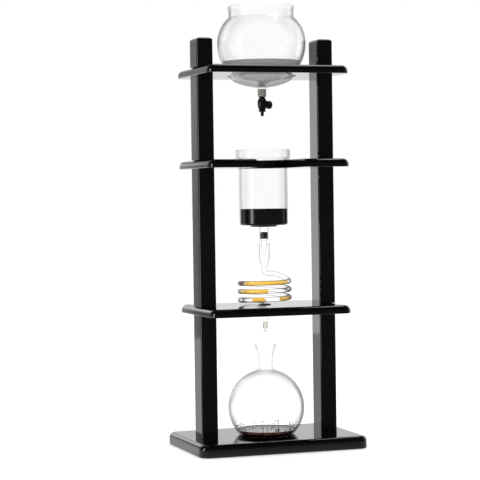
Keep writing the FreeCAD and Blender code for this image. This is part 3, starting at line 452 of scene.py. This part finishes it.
class TOWER_OT_globe(bpy.types.Operator):
    """Blow the water globe and fill it"""
    bl_idname = "tower.globe"
    bl_label = "Water globe"

    def execute(self, context):
        look = context.scene.tower_glass
        glass = thin_glass("borosilicate_blown_globe", look.vessel_edge_shade_colour)
        # The water gets painted shade as its grey, and a painted glow from its cloud
        water = clear_liquid("water_painted_shade_and_glow", look.water_shade_colour, cloudiness_and_painted_glow=0.5)
        top = SHELF_TOP
        middle = top + GLOBE_CENTRE
        inner = GLOBE_RADIUS - GLOBE_WALL
        # Outside from the drain up to the rim, then inside back down
        turned_piece("globe_glass", [
            (DRAIN_BORE, top + DRAIN_BOTTOM), (DRAIN_RADIUS, top + DRAIN_BOTTOM),
            (DRAIN_RADIUS, top - 38.9), (11.6, top - 35.4, NECK_BLEND, RIGHT),
            (48.5, top - 25.8, DISH_RADIUS, LEFT),
            (57.5, top - 17.8, DISH_CORNER, LEFT), (69.9, top + 3.3),
            (GLOBE_RADIUS, middle, GLOBE_RADIUS, LEFT), (60.9, top + 91.7, SHOULDER_RADIUS, LEFT),
            (NECK_RADIUS, top + 94.2, NECK_BLEND, RIGHT), (NECK_RADIUS, top + 106),
            (61, top + 109.5, 5.4, LEFT), (59.1, top + 113, 3.6, LEFT), (58.5, top + 112.3, 0.7, LEFT),
            (NECK_RADIUS - GLOBE_WALL, top + 92.9), (inner, middle, SHOULDER_RADIUS - GLOBE_WALL, RIGHT),
            (68.6, top + 4, inner, RIGHT), (56.4, top - 17.2),
            (48, top - 24.6, DISH_CORNER - GLOBE_WALL, RIGHT),
            (DRAIN_BORE, top - 34.2, DISH_RADIUS - GLOBE_WALL, RIGHT),
        ], "globe", glass, look.segments, replaced=("globe_vessel",), slot="clear_glass")
        # The water follows the glass a hair inside it and climbs the wall a little at its edge
        rise = look.water_rise / MM
        wet = inner - WATER_GAP
        edge = math.sqrt(wet ** 2 - (GLOBE_CENTRE - rise) ** 2)
        surface = top + rise - MENISCUS_HEIGHT
        turned_piece("globe_water", [
            (0, top - 34.4), (47.9, top - 24.5, DISH_RADIUS - GLOBE_WALL - WATER_GAP, LEFT),
            (56.3, top - 17.1, DISH_CORNER - GLOBE_WALL - WATER_GAP, LEFT), (68.4, top + 4),
            (edge, top + rise, wet, LEFT), (edge - MENISCUS_WIDTH, surface, 2.4, RIGHT), (0, surface),
        ], "globe", water, look.segments, slot="clear_glass")
        low, high = top - 52.1, top - 38.6
        stopper = moulded_rubber("silicone_stopper_grey_brown", look.stopper_colour)
        turned_piece("stopper_sleeve", [
            (3.3, low), (7.6, low), (7.6, high), (3.3, high),
        ], "globe", stopper, look.segments // 2, replaced=("drain_stopper",), slot="stopper_rubber")
        paint_node("drain_seal", moulded_rubber("silicone_washer_grey_brown", look.washer_colour))
        return {"FINISHED"}


class TOWER_OT_tap(bpy.types.Operator):
    """Mould the drip tap and its knob"""
    bl_idname = "tower.tap"
    bl_label = "Drip tap"

    def execute(self, context):
        plastic = polished_abs(context.scene.tower_tap.plastic_colour)
        segments = context.scene.tower_glass.segments // 2
        bore = 1.6
        tip = level("tap_body", 0)
        collar = tip + 34.1
        tail = tip + 49
        # Outside from the nozzle over skirt, barrel and collar up into the stopper, then the bore
        turned_piece("tap_barrel", [
            (bore, tip), (2.4, tip), (2.9, tip + 0.9, 1, LEFT), (3.1, tip + 7.9), (6.2, tip + 7.9),
            (6.7, tip + 8.4, 0.5, LEFT), (6.7, tip + 10), (5.7, tip + 11.6), (8.3, tip + 20.5, 15, LEFT),
            (5, collar - 0.4, 14, LEFT), (5, collar), (6, collar), (6, collar + 1.9), (3.2, collar + 1.9),
            (3.2, tail), (bore, tail),
        ], "globe", plastic, segments, replaced=("tap_body",), slot="black_plastic")
        low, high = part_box("tap_knob")
        back, front = low.x / MM, high.x / MM
        height = (low.z + high.z) / 2 / MM
        rim = (high.z - low.z) / 2 / MM
        back_edge = 1.5
        front_edge = 4.2
        turned_piece("tap_grip", [
            (0, back), (4, back), (rim - back_edge, back), (rim, back + back_edge, back_edge, LEFT),
            (rim, front - front_edge), (rim - front_edge, front, front_edge, LEFT), (0, front),
        ], "tap_key", plastic, segments, axis="X", centre_height=height,
            replaced=("tap_knob",), slot="black_plastic")
        paint_node("tap_plug", plastic)
        return {"FINISHED"}


class TOWER_OT_chamber(bpy.types.Operator):
    """Make the coffee chamber: glass, cap, filter and spout"""
    bl_idname = "tower.chamber"
    bl_label = "Coffee chamber"

    def execute(self, context):
        look = context.scene.tower_glass
        rubber = moulded_rubber("rubber_moulded_ring", look.ring_colour)
        plastic = polished_abs(context.scene.tower_tap.plastic_colour)
        steel = zinc_steel(context.scene.tower_stand.steel_colour)
        self.draw_glass(look)
        self.mould_base(look.segments, plastic, rubber, steel)
        self.draw_spout(look, rubber)
        return {"FINISHED"}

    def draw_glass(self, look):
        """The cylinder with its flared rim, which rests on the middle shelf."""
        glass = thin_glass("borosilicate_drawn_chamber", look.vessel_edge_shade_colour)
        outer, inner = 44.5, 42.4
        flare, lip = 50, 1.3
        bottom = level("chamber_glass", 0)
        rim = level("chamber_glass")
        top = MIDDLE_TOP
        turned_piece("chamber_cylinder", [
            (inner, bottom), (outer, bottom), (outer, top), (46.5, top), (flare, top + 3.5, 3.5, LEFT),
            (flare, rim - lip), (flare - lip, rim, lip, LEFT), (flare - 2 * lip, rim - lip, lip, LEFT),
            (flare - 2 * lip, top + 6.2), (44, top + 2.8, 3.4, RIGHT), (inner, top + 1.2, 1.6, LEFT),
        ], "chamber", glass, look.segments, replaced=("chamber_glass",), slot="clear_glass")

    def mould_base(self, segments, plastic, rubber, steel):
        """The black cap with its bevelled boss, and the gasket and filter plate that lie in its steps."""
        bottom = level("chamber_glass", 0)
        boss = level("chamber_cap", 0)
        outer = 44.4
        edge = 4
        gasket_step = bottom - 1.6
        plate_step = bottom - 3.2
        hole_top = boss + 10
        turned_piece("chamber_base", [
            (8.4, boss + 1.8), (23.2, boss + 1.8), (24.2, boss + 2.6, 1, LEFT), (25.6, boss + 4.9),
            (outer - edge, boss + 4.9), (outer, boss + 8.9, edge, LEFT), (outer, bottom), (42.1, bottom),
            (42.1, gasket_step), (38.8, gasket_step), (38.8, plate_step), (35.6, plate_step),
            (6.4, boss + 11), (6.4, hole_top), (8.4, hole_top),
        ], "chamber", plastic, segments, replaced=("chamber_cap",), slot="black_plastic")
        turned_piece("chamber_gasket", [
            (38.9, gasket_step), (42, gasket_step), (42, bottom - 0.1), (38.9, bottom - 0.1),
        ], "chamber", rubber, segments, replaced=("chamber_seal",), slot="black_rubber")
        turned_piece("filter_plate", [
            (0, plate_step), (38.7, plate_step), (38.7, bottom - 1.7), (0, bottom - 1.7),
        ], "chamber", steel, segments, replaced=("filter_disc",), slot="steel")

    def draw_spout(self, look, rubber):
        """The spout's tube, drawn to a thin tip, and the dark collar inside it."""
        drawn = thin_glass("borosilicate_tube_spout", look.edge_shade_colour)
        tip = level("spout_tube", 0)
        boss = level("chamber_cap", 0)
        outer, inner = 8.4, 7.2
        turned_piece("spout_glass", [
            (2.2, tip), (3, tip), (6.2, tip + 30), (outer, tip + 33.2, 3.9, LEFT), (outer, boss + 10),
            (inner, boss + 10), (inner, tip + 33.4), (5.3, tip + 30.6, 3.4, RIGHT),
        ], "chamber", drawn, look.segments // 2, replaced=("spout_tube",), slot="clear_glass")
        low, high = tip + 33.4, boss - 8
        turned_piece("spout_collar", [
            (5.7, low), (7.1, low), (7.1, high), (5.7, high),
        ], "chamber", rubber, look.segments // 2, replaced=("spout_ring",), slot="black_rubber")


# The coil in millimetres. The joining arc leads from the run through the middle into the big circle
COIL_RADIUS = 45.4
COIL_TURNS = 2.577
COIL_PITCH = 15.0
JOINING_RADIUS = 15.0
JOINING_REACH = math.sqrt((COIL_RADIUS - JOINING_RADIUS) ** 2 - JOINING_RADIUS ** 2)
JOINING_SWING = math.atan2(JOINING_RADIUS, JOINING_REACH)
ALL_TURNS = 2 * math.pi * COIL_TURNS
TURN_TILT = 1.8
TILT_WAY = math.radians(18.77)
TILT_FADE = math.pi / 3
TUBE_RADIUS = 4.4
TUBE_WALL = 0.4
MOUTH_RADIUS = 9.8
SLEEVE_LENGTH = 29.6
SLEEVE_TAPER = 15.0
INLET_BEND = 7.0
OUTLET_BEND = 6.0
LEVEL_SHARE = 0.4
LINK_POINTS = 10
BEND_POINTS = 13
ARC_POINTS = 30
TURN_POINTS = 240
RUN_HEIGHT = LOWER_TOP + 6.3
LINK_HEIGHT = LOWER_TOP + 57.5
SLEEVE_TOP = level("coil_glass")
OUTLET_TIP = level("coil_glass", 0)


def arc_route(centre, radius, first, last, count):
    """Points of a level arc, its centre plus the radius times cosine and sine of even angles."""
    angles = np.linspace(first, last, count)
    return np.stack([centre[0] + radius * np.cos(angles), centre[1] + radius * np.sin(angles)], axis=1)


def raised(plan, heights):
    """Points of a plan with a height for each, or with one for all."""
    return np.column_stack([plan, np.broadcast_to(heights, len(plan))])


def on_turns(turned):
    """Places on the turns, by the angle turned since they begin.

    They go round clockwise from above and fall evenly, less the tilt times the cosine of the angle from
    its way. The tilt fades out over the last sixth of a turn."""
    angles = -JOINING_SWING - turned
    left = ALL_TURNS - turned
    tilt = TURN_TILT * np.cos(angles + TILT_WAY) * np.clip(left / TILT_FADE, 0, 1)
    circle = np.stack([COIL_RADIUS * np.cos(angles), COIL_RADIUS * np.sin(angles)], axis=1)
    return raised(circle, RUN_HEIGHT + COIL_PITCH * left / (2 * math.pi) - tilt)


def coil_route():
    """The coil's middle line, from the sleeve's top to the outlet's tip.

    In plan it is a run out from the middle, the joining arc, the turns, the same arc back and a run in.
    From the link down to the turns the height falls as a smooth step of the way travelled."""
    quarter = np.linspace(0, math.pi / 2, BEND_POINTS)
    arc = math.pi / 2 + JOINING_SWING
    # Down the inlet and round its bend
    inlet = np.linspace(SLEEVE_TOP, LINK_HEIGHT + INLET_BEND, 40)
    bend_in = np.stack([INLET_BEND * (1 - np.cos(quarter)), 0 * quarter], axis=1)
    # The link, level at first, and the joining arc
    link = np.stack([np.linspace(INLET_BEND, JOINING_REACH, LINK_POINTS), np.zeros(LINK_POINTS)], axis=1)
    middle = (JOINING_REACH, -JOINING_RADIUS)
    turn_in = arc_route(middle, JOINING_RADIUS, math.pi / 2, math.pi / 2 - arc, ARC_POINTS)
    lead = np.concatenate([link, turn_in[1:]])
    travelled = np.concatenate([[0], np.cumsum(np.hypot(*np.diff(lead, axis=0).T))])
    level_run = LEVEL_SHARE * (JOINING_REACH - INLET_BEND)
    share = np.clip((travelled - level_run) / (travelled[-1] - level_run), 0, 1)
    turns = on_turns(np.linspace(0, ALL_TURNS, TURN_POINTS))
    lead_height = LINK_HEIGHT + (turns[0, 2] - LINK_HEIGHT) * share ** 2 * (3 - 2 * share)
    # The arc back, the run to the middle and the bend down through the shelf
    end_angle = -JOINING_SWING - ALL_TURNS
    centre = (COIL_RADIUS - JOINING_RADIUS) * np.array([math.cos(end_angle), math.sin(end_angle)])
    turn_out = arc_route(centre, JOINING_RADIUS, end_angle, end_angle - arc, ARC_POINTS)
    distance = np.hypot(*turn_out[-1])
    inward = -turn_out[-1] / distance
    run_in = turn_out[-1] + np.linspace(0, distance - OUTLET_BEND, 8)[:, None] * inward
    bend_out = -inward * (OUTLET_BEND * (1 - np.sin(quarter)))[:, None]
    outlet = np.linspace(RUN_HEIGHT - OUTLET_BEND, OUTLET_TIP, 24)
    return np.concatenate([
        raised(np.zeros((len(inlet), 2)), inlet),
        raised(bend_in, LINK_HEIGHT + INLET_BEND * (1 - np.sin(quarter)))[1:],
        raised(lead, lead_height)[1:],
        turns[1:],
        raised(turn_out, RUN_HEIGHT)[1:],
        raised(run_in, RUN_HEIGHT)[1:],
        raised(bend_out, RUN_HEIGHT - OUTLET_BEND * (1 - np.cos(quarter)))[1:],
        raised(np.zeros((len(outlet), 2)), outlet)[1:],
    ])


class TOWER_OT_coil(bpy.types.Operator):
    """Bend the glass coil and put the coffee in it"""
    bl_idname = "tower.coil"
    bl_label = "Glass coil"

    def execute(self, context):
        look = context.scene.tower_glass
        coffee = context.scene.tower_coffee
        self.bend_tube(thin_glass("borosilicate_tube_coil", look.edge_shade_colour))
        # Both coffees in the coil get a painted glow of their own colour from their cloud
        self.fill(clear_liquid("coffee_thin_amber", coffee.amber_colour, cloudiness_and_painted_glow=0.6),
                  clear_liquid("coffee_deep_brown", coffee.dark_colour, cloudiness_and_painted_glow=0.8))
        tip = OUTLET_TIP
        inner = 3.85
        # The drop on its thread, and the coffee that stands in the outlet
        turned_piece("coffee_drip", [
            (0, tip - 6.6), (2.3, tip - 4.3, 2.3, LEFT), (0.4, tip - 1.6, 4, RIGHT), (0.5, tip - 0.6),
            (3.6, tip + 0.4, 5, RIGHT), (inner, tip + 0.8), (inner, tip + 12), (2.6, tip + 11, 2, RIGHT),
            (0, tip + 10.6),
        ], "coil", clear_liquid("coffee_drip_pale", coffee.drip_colour), look.segments // 4,
            slot="clear_glass")
        return {"FINISHED"}

    def bend_tube(self, glass):
        """The hollow tube: rings outside and inside along the route, joined at both ends."""
        route = coil_route()
        # The sleeve's wide mouth narrows over its taper to the tube
        taper_end = SLEEVE_TOP - SLEEVE_LENGTH - SLEEVE_TAPER
        widening = np.clip((route[:, 2] - taper_end) / SLEEVE_TAPER, 0, 1)
        outside = TUBE_RADIUS + (MOUTH_RADIUS - TUBE_RADIUS) * widening
        outer = swept_rings(route, outside)
        inner = swept_rings(route, outside - TUBE_WALL)
        along = grid_faces(len(route), TUBE_SIDES)
        column = np.arange(TUBE_SIDES)
        following = (column + 1) % TUBE_SIDES
        end = len(outer) - TUBE_SIDES
        mouth = np.stack([column, following, following + len(outer), column + len(outer)], axis=1)
        faces = np.concatenate([along[:, ::-1], along + len(outer), mouth, (mouth + end)[:, ::-1]])
        add_piece("coil_tube", np.concatenate([outer, inner]) * MM, faces.tolist(), "coil", glass,
                  replaced=("coil_glass",), slot="clear_glass")

    def fill(self, amber, dark):
        """Stretches of coffee along the turns, by the degrees turned since they begin."""
        stretches = {
            "first_front": (18, 128, amber),
            "first_left": (152, 172, dark),
            "second_front": (432, 516, amber),
            "second_left": (516.5, 534, dark),
            "second_back": (578, 602, amber),
            "third_right": (726, 760, amber),
            "third_front": (800, 828, amber),
        }
        radius = TUBE_RADIUS - TUBE_WALL - 0.03
        for name, (first, last, coffee) in stretches.items():
            turned = np.radians(np.linspace(first, last, max(int((last - first) / 3), 6)))
            swept_piece(f"coffee_{name}", on_turns(turned), radius, "coil", coffee, slot="clear_glass")


# The carafe in millimetres, with heights above the base board
FLASK_RADIUS = 70.5
FLASK_CENTRE = 49.5
FLASK_WALL = 2
FOOT_ARC = 9.7
NECK_FOOT = 132.5
WAIST = 135.5
POOL_DEPTH = 9.2
SPECKS = 110
SPECK_TURNS = 10
SPECK_ROWS = 6
SPECK_LEAST = 0.5
SPECK_MOST = 1.3
SPECK_RING_LOW = -38.5
SPECK_RING_HEIGHT = 9


class TOWER_OT_carafe(bpy.types.Operator):
    """Blow the carafe and put the first coffee in it"""
    bl_idname = "tower.carafe"
    bl_label = "Carafe"

    def execute(self, context):
        look = context.scene.tower_glass
        glass = thin_glass("borosilicate_blown_carafe", look.vessel_edge_shade_colour, 0.45)
        base = BOARD_TOP
        middle = base + FLASK_CENTRE
        inner = FLASK_RADIUS - FLASK_WALL
        floor = base + FLASK_WALL
        # Outside from the foot up to the lip, then inside back down
        turned_piece("carafe_flask", [
            (0, base), (46, base), (53, base + 3, FOOT_ARC, LEFT),
            (FLASK_RADIUS, middle, FLASK_RADIUS, LEFT), (19, base + 117.4, FLASK_RADIUS, LEFT),
            (13.8, base + NECK_FOOT, 13.5, RIGHT), (13.8, base + WAIST), (20.6, base + 163.1, 65, RIGHT),
            (21.2, base + 164.3, 1.2, LEFT), (19.6, base + 165.5, 2.4, LEFT),
            (18.6, base + 164.3, 1.2, LEFT), (11.8, base + WAIST, 67, LEFT), (11.8, base + NECK_FOOT),
            (18, base + 115.6, 15.5, LEFT), (inner, middle, inner, RIGHT), (52, base + 4.9, inner, RIGHT),
            (45, floor, FOOT_ARC, RIGHT), (0, floor),
        ], "carafe", glass, look.segments, replaced=("carafe_glass",), slot="clear_glass")
        coffee = context.scene.tower_coffee
        brew = clear_liquid("coffee_deep_brown_pool", coffee.pool_colour)
        # The pool lies a hair inside the glass and climbs the wall a little at its shore
        wet = inner - 0.1
        bed = floor + 0.05
        shore = math.sqrt(wet ** 2 - (FLASK_CENTRE - POOL_DEPTH) ** 2)
        surface = base + POOL_DEPTH - 0.9
        turned_piece("carafe_coffee", [
            (0, bed), (44.9, bed), (51.9, base + 5, FOOT_ARC - 0.1, LEFT),
            (shore, base + POOL_DEPTH, wet, LEFT), (shore - 1.5, surface, 1.8, RIGHT), (0, surface),
        ], "carafe", brew, look.segments, slot="clear_glass")
        self.splash(middle, moulded_rubber("coffee_foam_drying", coffee.foam_colour))
        return {"FINISHED"}

    def splash(self, middle, foam):
        """Specks of coffee and foam on the inner wall, in a ring above the pool.

        Each is a ball, sines and cosines of two angles, pressed flat along the way out from the middle."""
        chance = np.random.default_rng(7)
        tilts = np.linspace(0.15, math.pi - 0.15, SPECK_ROWS)
        turns, tilts = np.meshgrid(np.linspace(0, 2 * math.pi, SPECK_TURNS, endpoint=False), tilts)
        ball = np.stack([
            np.sin(tilts) * np.cos(turns), np.sin(tilts) * np.sin(turns), -np.cos(tilts)], axis=-1)
        ball = ball.reshape(-1, 3)
        bottom = np.arange(SPECK_TURNS)
        caps = [bottom[::-1].tolist(), (bottom + len(ball) - SPECK_TURNS).tolist()]
        ball_faces = grid_faces(SPECK_ROWS, SPECK_TURNS).tolist() + caps
        # A speck lies flat on the inside of the wall
        wall = FLASK_RADIUS - FLASK_WALL - 0.2
        lift = 0.45
        flatness = 0.6
        vertices, faces = [], []
        for speck in range(SPECKS):
            angle = chance.uniform(0, 2 * math.pi)
            drop = SPECK_RING_LOW + SPECK_RING_HEIGHT * chance.uniform() ** 1.6
            size = chance.uniform(SPECK_LEAST, SPECK_MOST)
            reach = math.sqrt(wall ** 2 - drop ** 2)
            outward = np.array([reach * math.cos(angle), reach * math.sin(angle), drop]) / wall
            centre = outward * (wall - lift * size)
            flat = ball - flatness * (ball @ outward)[:, None] * outward
            vertices.append(centre + size * flat + np.array([0, 0, middle]))
            faces.extend([speck * len(ball) + index for index in face] for face in ball_faces)
        specks = np.concatenate(vertices) * MM
        add_piece("carafe_specks", specks, faces, "carafe", foam, slot="clear_glass")


FLOOR_REACH = 30.0
SCREEN_DEPTH = 1.0
LAMP_AIM = np.array([0, 0, 0.45])
# Ways in plan: away from the camera, and to its right
AWAY = (0.32, 0.95, 0)
ASIDE = (0.95, -0.32, 0)
CAMERA_YAW = math.radians(18.77)
CAMERA_PITCH = math.radians(1.45)
CAMERA_ROLL = math.radians(-0.82)
CAMERA_LENS = 131.79


def stand_at(item, right, up, back, place):
    """Puts a lamp or a camera at a place, looking the way that is opposite to its back."""
    rows = [[right[row], up[row], back[row], place[row]] for row in range(3)]
    item.matrix_world = Matrix(rows + [[0, 0, 0, 1]])


def stage_sheet(name, corners, material):
    """One flat sheet that isn't part of the object."""
    mesh = bpy.data.meshes.new(name)
    mesh.from_pydata(corners, [], [(0, 1, 2, 3)])
    mesh.materials.append(material)
    sheet = bpy.data.objects.new(name, mesh)
    bpy.context.scene.collection.objects.link(sheet)
    return sheet


class TOWER_OT_stage(bpy.types.Operator):
    """Set the floor, the studio light and the camera"""
    bl_idname = "tower.stage"
    bl_label = "Stage"

    def execute(self, context):
        look = context.scene.tower_studio
        self.lay_floor(look)
        self.light_world(look)
        self.stand_screen()
        # A tall narrow soft box at the left, whose streak runs down the glass, and a broad one above
        self.hang_lamp("strip_box", angle=-166.8, distance=1.5, height=0.5, size=(0.35, 1.3), power=9)
        self.hang_lamp("overhead_box", angle=60.0, distance=0.8, height=2.2, size=(1.2, 1.2), power=12)
        self.place_camera(look)
        view = context.scene.view_settings
        view.view_transform = "Standard"
        return {"FINISHED"}

    def lay_floor(self, look):
        """A pale floor. Reflections see it bright behind the object and dark in front."""
        material, tree, place = new_material("paper_floor_matte")
        depth = add_node(tree, "ShaderNodeSeparateXYZ", {"Vector": place}).outputs["Y"]
        behind = add_node(tree, "ShaderNodeMapRange", {
            "Value": depth, "From Min": -0.25, "From Max": 0.0, "To Min": 0.08, "To Max": 1.0})
        paper = add_node(tree, "ShaderNodeBsdfDiffuse", {"Color": linear(look.floor_colour)})
        glow = add_node(tree, "ShaderNodeEmission", {"Color": WHITE, "Strength": 0.35})
        seen = add_node(tree, "ShaderNodeAddShader", {0: paper.outputs[0], 1: glow.outputs[0]})
        mirrored = add_node(tree, "ShaderNodeEmission", {"Color": WHITE, "Strength": behind.outputs[0]})
        rays = add_node(tree, "ShaderNodeLightPath")
        surface = add_node(tree, "ShaderNodeMixShader", {
            0: rays.outputs["Is Glossy Ray"], 1: seen.outputs[0], 2: mirrored.outputs[0]})
        add_node(tree, "ShaderNodeOutputMaterial", {"Surface": surface.outputs[0]})
        reach = FLOOR_REACH
        stage_sheet("floor", [
            (-reach, -reach, 0), (reach, -reach, 0), (reach, reach, 0), (-reach, reach, 0)], material)

    def stand_screen(self):
        """A lit screen behind and to the left that only reflections see.

        It is dim where the left post mirrors it, and brighter where the right one does."""
        material, tree, place = new_material("screen_cloth_lit")
        split = add_node(tree, "ShaderNodeSeparateXYZ", {"Vector": place})
        dim = add_node(tree, "ShaderNodeMapRange", {
            "Value": split.outputs["Z"], "From Min": 0.4, "From Max": 0.7, "To Min": 0.28, "To Max": 0.65})
        across = add_node(tree, "ShaderNodeMapRange", {
            "Value": split.outputs["X"], "From Min": -0.46, "From Max": -0.34})
        lively = add_node(tree, "ShaderNodeMapRange", {
            "Value": split.outputs["Z"], "From Min": 0.74, "From Max": 0.79, "To Min": 1.9, "To Max": 0.6})
        power = add_node(tree, "ShaderNodeMix", {
            "Factor": across.outputs[0], "A": dim.outputs[0], "B": lively.outputs[0]}, data_type="FLOAT")
        glow = add_node(tree, "ShaderNodeEmission", {"Color": WHITE, "Strength": power.outputs[0]})
        add_node(tree, "ShaderNodeOutputMaterial", {"Surface": glow.outputs[0]})
        left, right, low, high = -1.1, -0.1, 0.12, 1.3
        screen = stage_sheet("screen", [
            (left, SCREEN_DEPTH, low), (right, SCREEN_DEPTH, low),
            (right, SCREEN_DEPTH, high), (left, SCREEN_DEPTH, high),
        ], material)
        screen.visible_camera = False
        screen.visible_diffuse = False
        screen.visible_transmission = False
        screen.visible_shadow = False

    def light_world(self, look):
        """Even light for surfaces, and white for the camera.

        Reflections see a bright wall behind and a dark studio in front and overhead. Light bent by a
        liquid sees dark sides, which draw its edges."""
        world = bpy.data.worlds.new("studio")
        bpy.context.scene.world = world
        world.use_nodes = True
        tree = world.node_tree
        tree.nodes.clear()
        way = add_node(tree, "ShaderNodeTexCoord").outputs["Generated"]
        split = add_node(tree, "ShaderNodeSeparateXYZ", {"Vector": way})
        rays = add_node(tree, "ShaderNodeLightPath")
        straight = add_node(tree, "ShaderNodeVectorMath", {0: way, 1: AWAY}, operation="DOT_PRODUCT")
        wall = add_node(tree, "ShaderNodeMapRange", {
            "Value": straight.outputs["Value"], "From Min": 0.1, "From Max": 0.6,
            "To Min": 0.06, "To Max": 1.0}, interpolation_type="SMOOTHSTEP")
        under = add_node(tree, "ShaderNodeMapRange", {
            "Value": split.outputs["Z"], "From Min": 0.3, "From Max": 0.75,
            "To Min": 1.0, "To Max": 0.12}, interpolation_type="SMOOTHSTEP")
        mirrored = add_node(tree, "ShaderNodeMath", {
            0: wall.outputs[0], 1: under.outputs[0]}, operation="MULTIPLY")
        sideways = add_node(tree, "ShaderNodeVectorMath", {0: way, 1: ASIDE}, operation="DOT_PRODUCT")
        aside = add_node(tree, "ShaderNodeMath", {0: sideways.outputs["Value"]}, operation="ABSOLUTE")
        beside = add_node(tree, "ShaderNodeMapRange", {
            "Value": aside.outputs[0], "From Min": 0.2, "From Max": 0.7,
            "To Min": 1.0, "To Max": 0.2}, interpolation_type="SMOOTHSTEP")
        before = add_node(tree, "ShaderNodeMapRange", {
            "Value": straight.outputs["Value"], "From Min": -0.4, "From Max": 0.0,
            "To Min": 0.45, "To Max": 1.0}, interpolation_type="SMOOTHSTEP")
        through = add_node(tree, "ShaderNodeMath", {
            0: beside.outputs[0], 1: before.outputs[0]}, operation="MULTIPLY")
        lit = add_node(tree, "ShaderNodeMix", {
            "Factor": rays.outputs["Is Glossy Ray"], "A": look.fill_strength, "B": mirrored.outputs[0]},
            data_type="FLOAT")
        fill = add_node(tree, "ShaderNodeMix", {
            "Factor": rays.outputs["Is Transmission Ray"], "A": lit.outputs[0], "B": through.outputs[0]},
            data_type="FLOAT")
        strength = add_node(tree, "ShaderNodeMix", {
            "Factor": rays.outputs["Is Camera Ray"], "A": fill.outputs[0], "B": 1.0}, data_type="FLOAT")
        sky = add_node(tree, "ShaderNodeBackground", {"Color": WHITE, "Strength": strength.outputs[0]})
        add_node(tree, "ShaderNodeOutputWorld", {"Surface": sky.outputs[0]})

    def hang_lamp(self, name, angle, distance, height, size, power):
        """A soft box that looks at the tower's middle, from an angle in plan, a distance and a height."""
        lamp = bpy.data.lights.new(name, "AREA")
        lamp.shape = "RECTANGLE"
        lamp.size, lamp.size_y = size
        lamp.energy = power
        holder = bpy.data.objects.new(name, lamp)
        bpy.context.scene.collection.objects.link(holder)
        turn = math.radians(angle)
        place = np.array([distance * math.cos(turn), distance * math.sin(turn), height])
        back = (place - LAMP_AIM) / np.linalg.norm(place - LAMP_AIM)
        right = np.cross((0, 0, 1), back)
        right /= np.linalg.norm(right)
        stand_at(holder, right, np.cross(back, right), back, place)

    def place_camera(self, look):
        """The camera stands in front and to the left, as high as the coffee chamber, almost level."""
        yaw, pitch, roll = CAMERA_YAW, CAMERA_PITCH, CAMERA_ROLL
        forward = np.array([
            math.sin(yaw) * math.cos(pitch), math.cos(yaw) * math.cos(pitch), -math.sin(pitch)])
        level_right = np.array([math.cos(yaw), -math.sin(yaw), 0])
        level_up = np.cross(level_right, forward)
        right = level_right * math.cos(roll) + level_up * math.sin(roll)
        up = level_up * math.cos(roll) - level_right * math.sin(roll)
        camera = bpy.data.cameras.new("camera")
        camera.sensor_width = 36
        camera.lens = CAMERA_LENS
        camera.clip_end = 100
        holder = bpy.data.objects.new("camera", camera)
        bpy.context.scene.collection.objects.link(holder)
        stand_at(holder, right, up, -forward, look.camera_place)
        bpy.context.scene.camera = holder


OPERATORS = (TOWER_OT_stand, TOWER_OT_globe, TOWER_OT_tap, TOWER_OT_chamber, TOWER_OT_coil, TOWER_OT_carafe,
             TOWER_OT_stage)


class TOWER_PT_panel(bpy.types.Panel):
    """Lists the tower's pieces"""
    bl_idname = "TOWER_PT_panel"
    bl_label = "Coffee tower"
    bl_space_type = "VIEW_3D"
    bl_region_type = "UI"
    bl_category = "Coffee tower"

    def draw(self, context):
        for operator in OPERATORS:
            self.layout.operator(operator.bl_idname)


GROUPS = {
    "tower_stand": StandLook,
    "tower_glass": GlassLook,
    "tower_coffee": CoffeeLook,
    "tower_tap": TapLook,
    "tower_studio": StudioLook,
}


def register():
    for group in GROUPS.values():
        bpy.utils.register_class(group)
    for operator in OPERATORS + (TOWER_PT_panel,):
        bpy.utils.register_class(operator)
    for name, group in GROUPS.items():
        setattr(bpy.types.Scene, name, PointerProperty(type=group))


def unregister():
    for name in GROUPS:
        delattr(bpy.types.Scene, name)
    for operator in OPERATORS + (TOWER_PT_panel,):
        bpy.utils.unregister_class(operator)
    for group in GROUPS.values():
        bpy.utils.unregister_class(group)


def main():
    register()
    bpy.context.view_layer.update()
    bpy.ops.tower.stand()
    bpy.ops.tower.globe()
    bpy.ops.tower.tap()
    bpy.ops.tower.chamber()
    bpy.ops.tower.coil()
    bpy.ops.tower.carafe()
    bpy.ops.tower.stage()


if __name__ == "__main__":
    main()
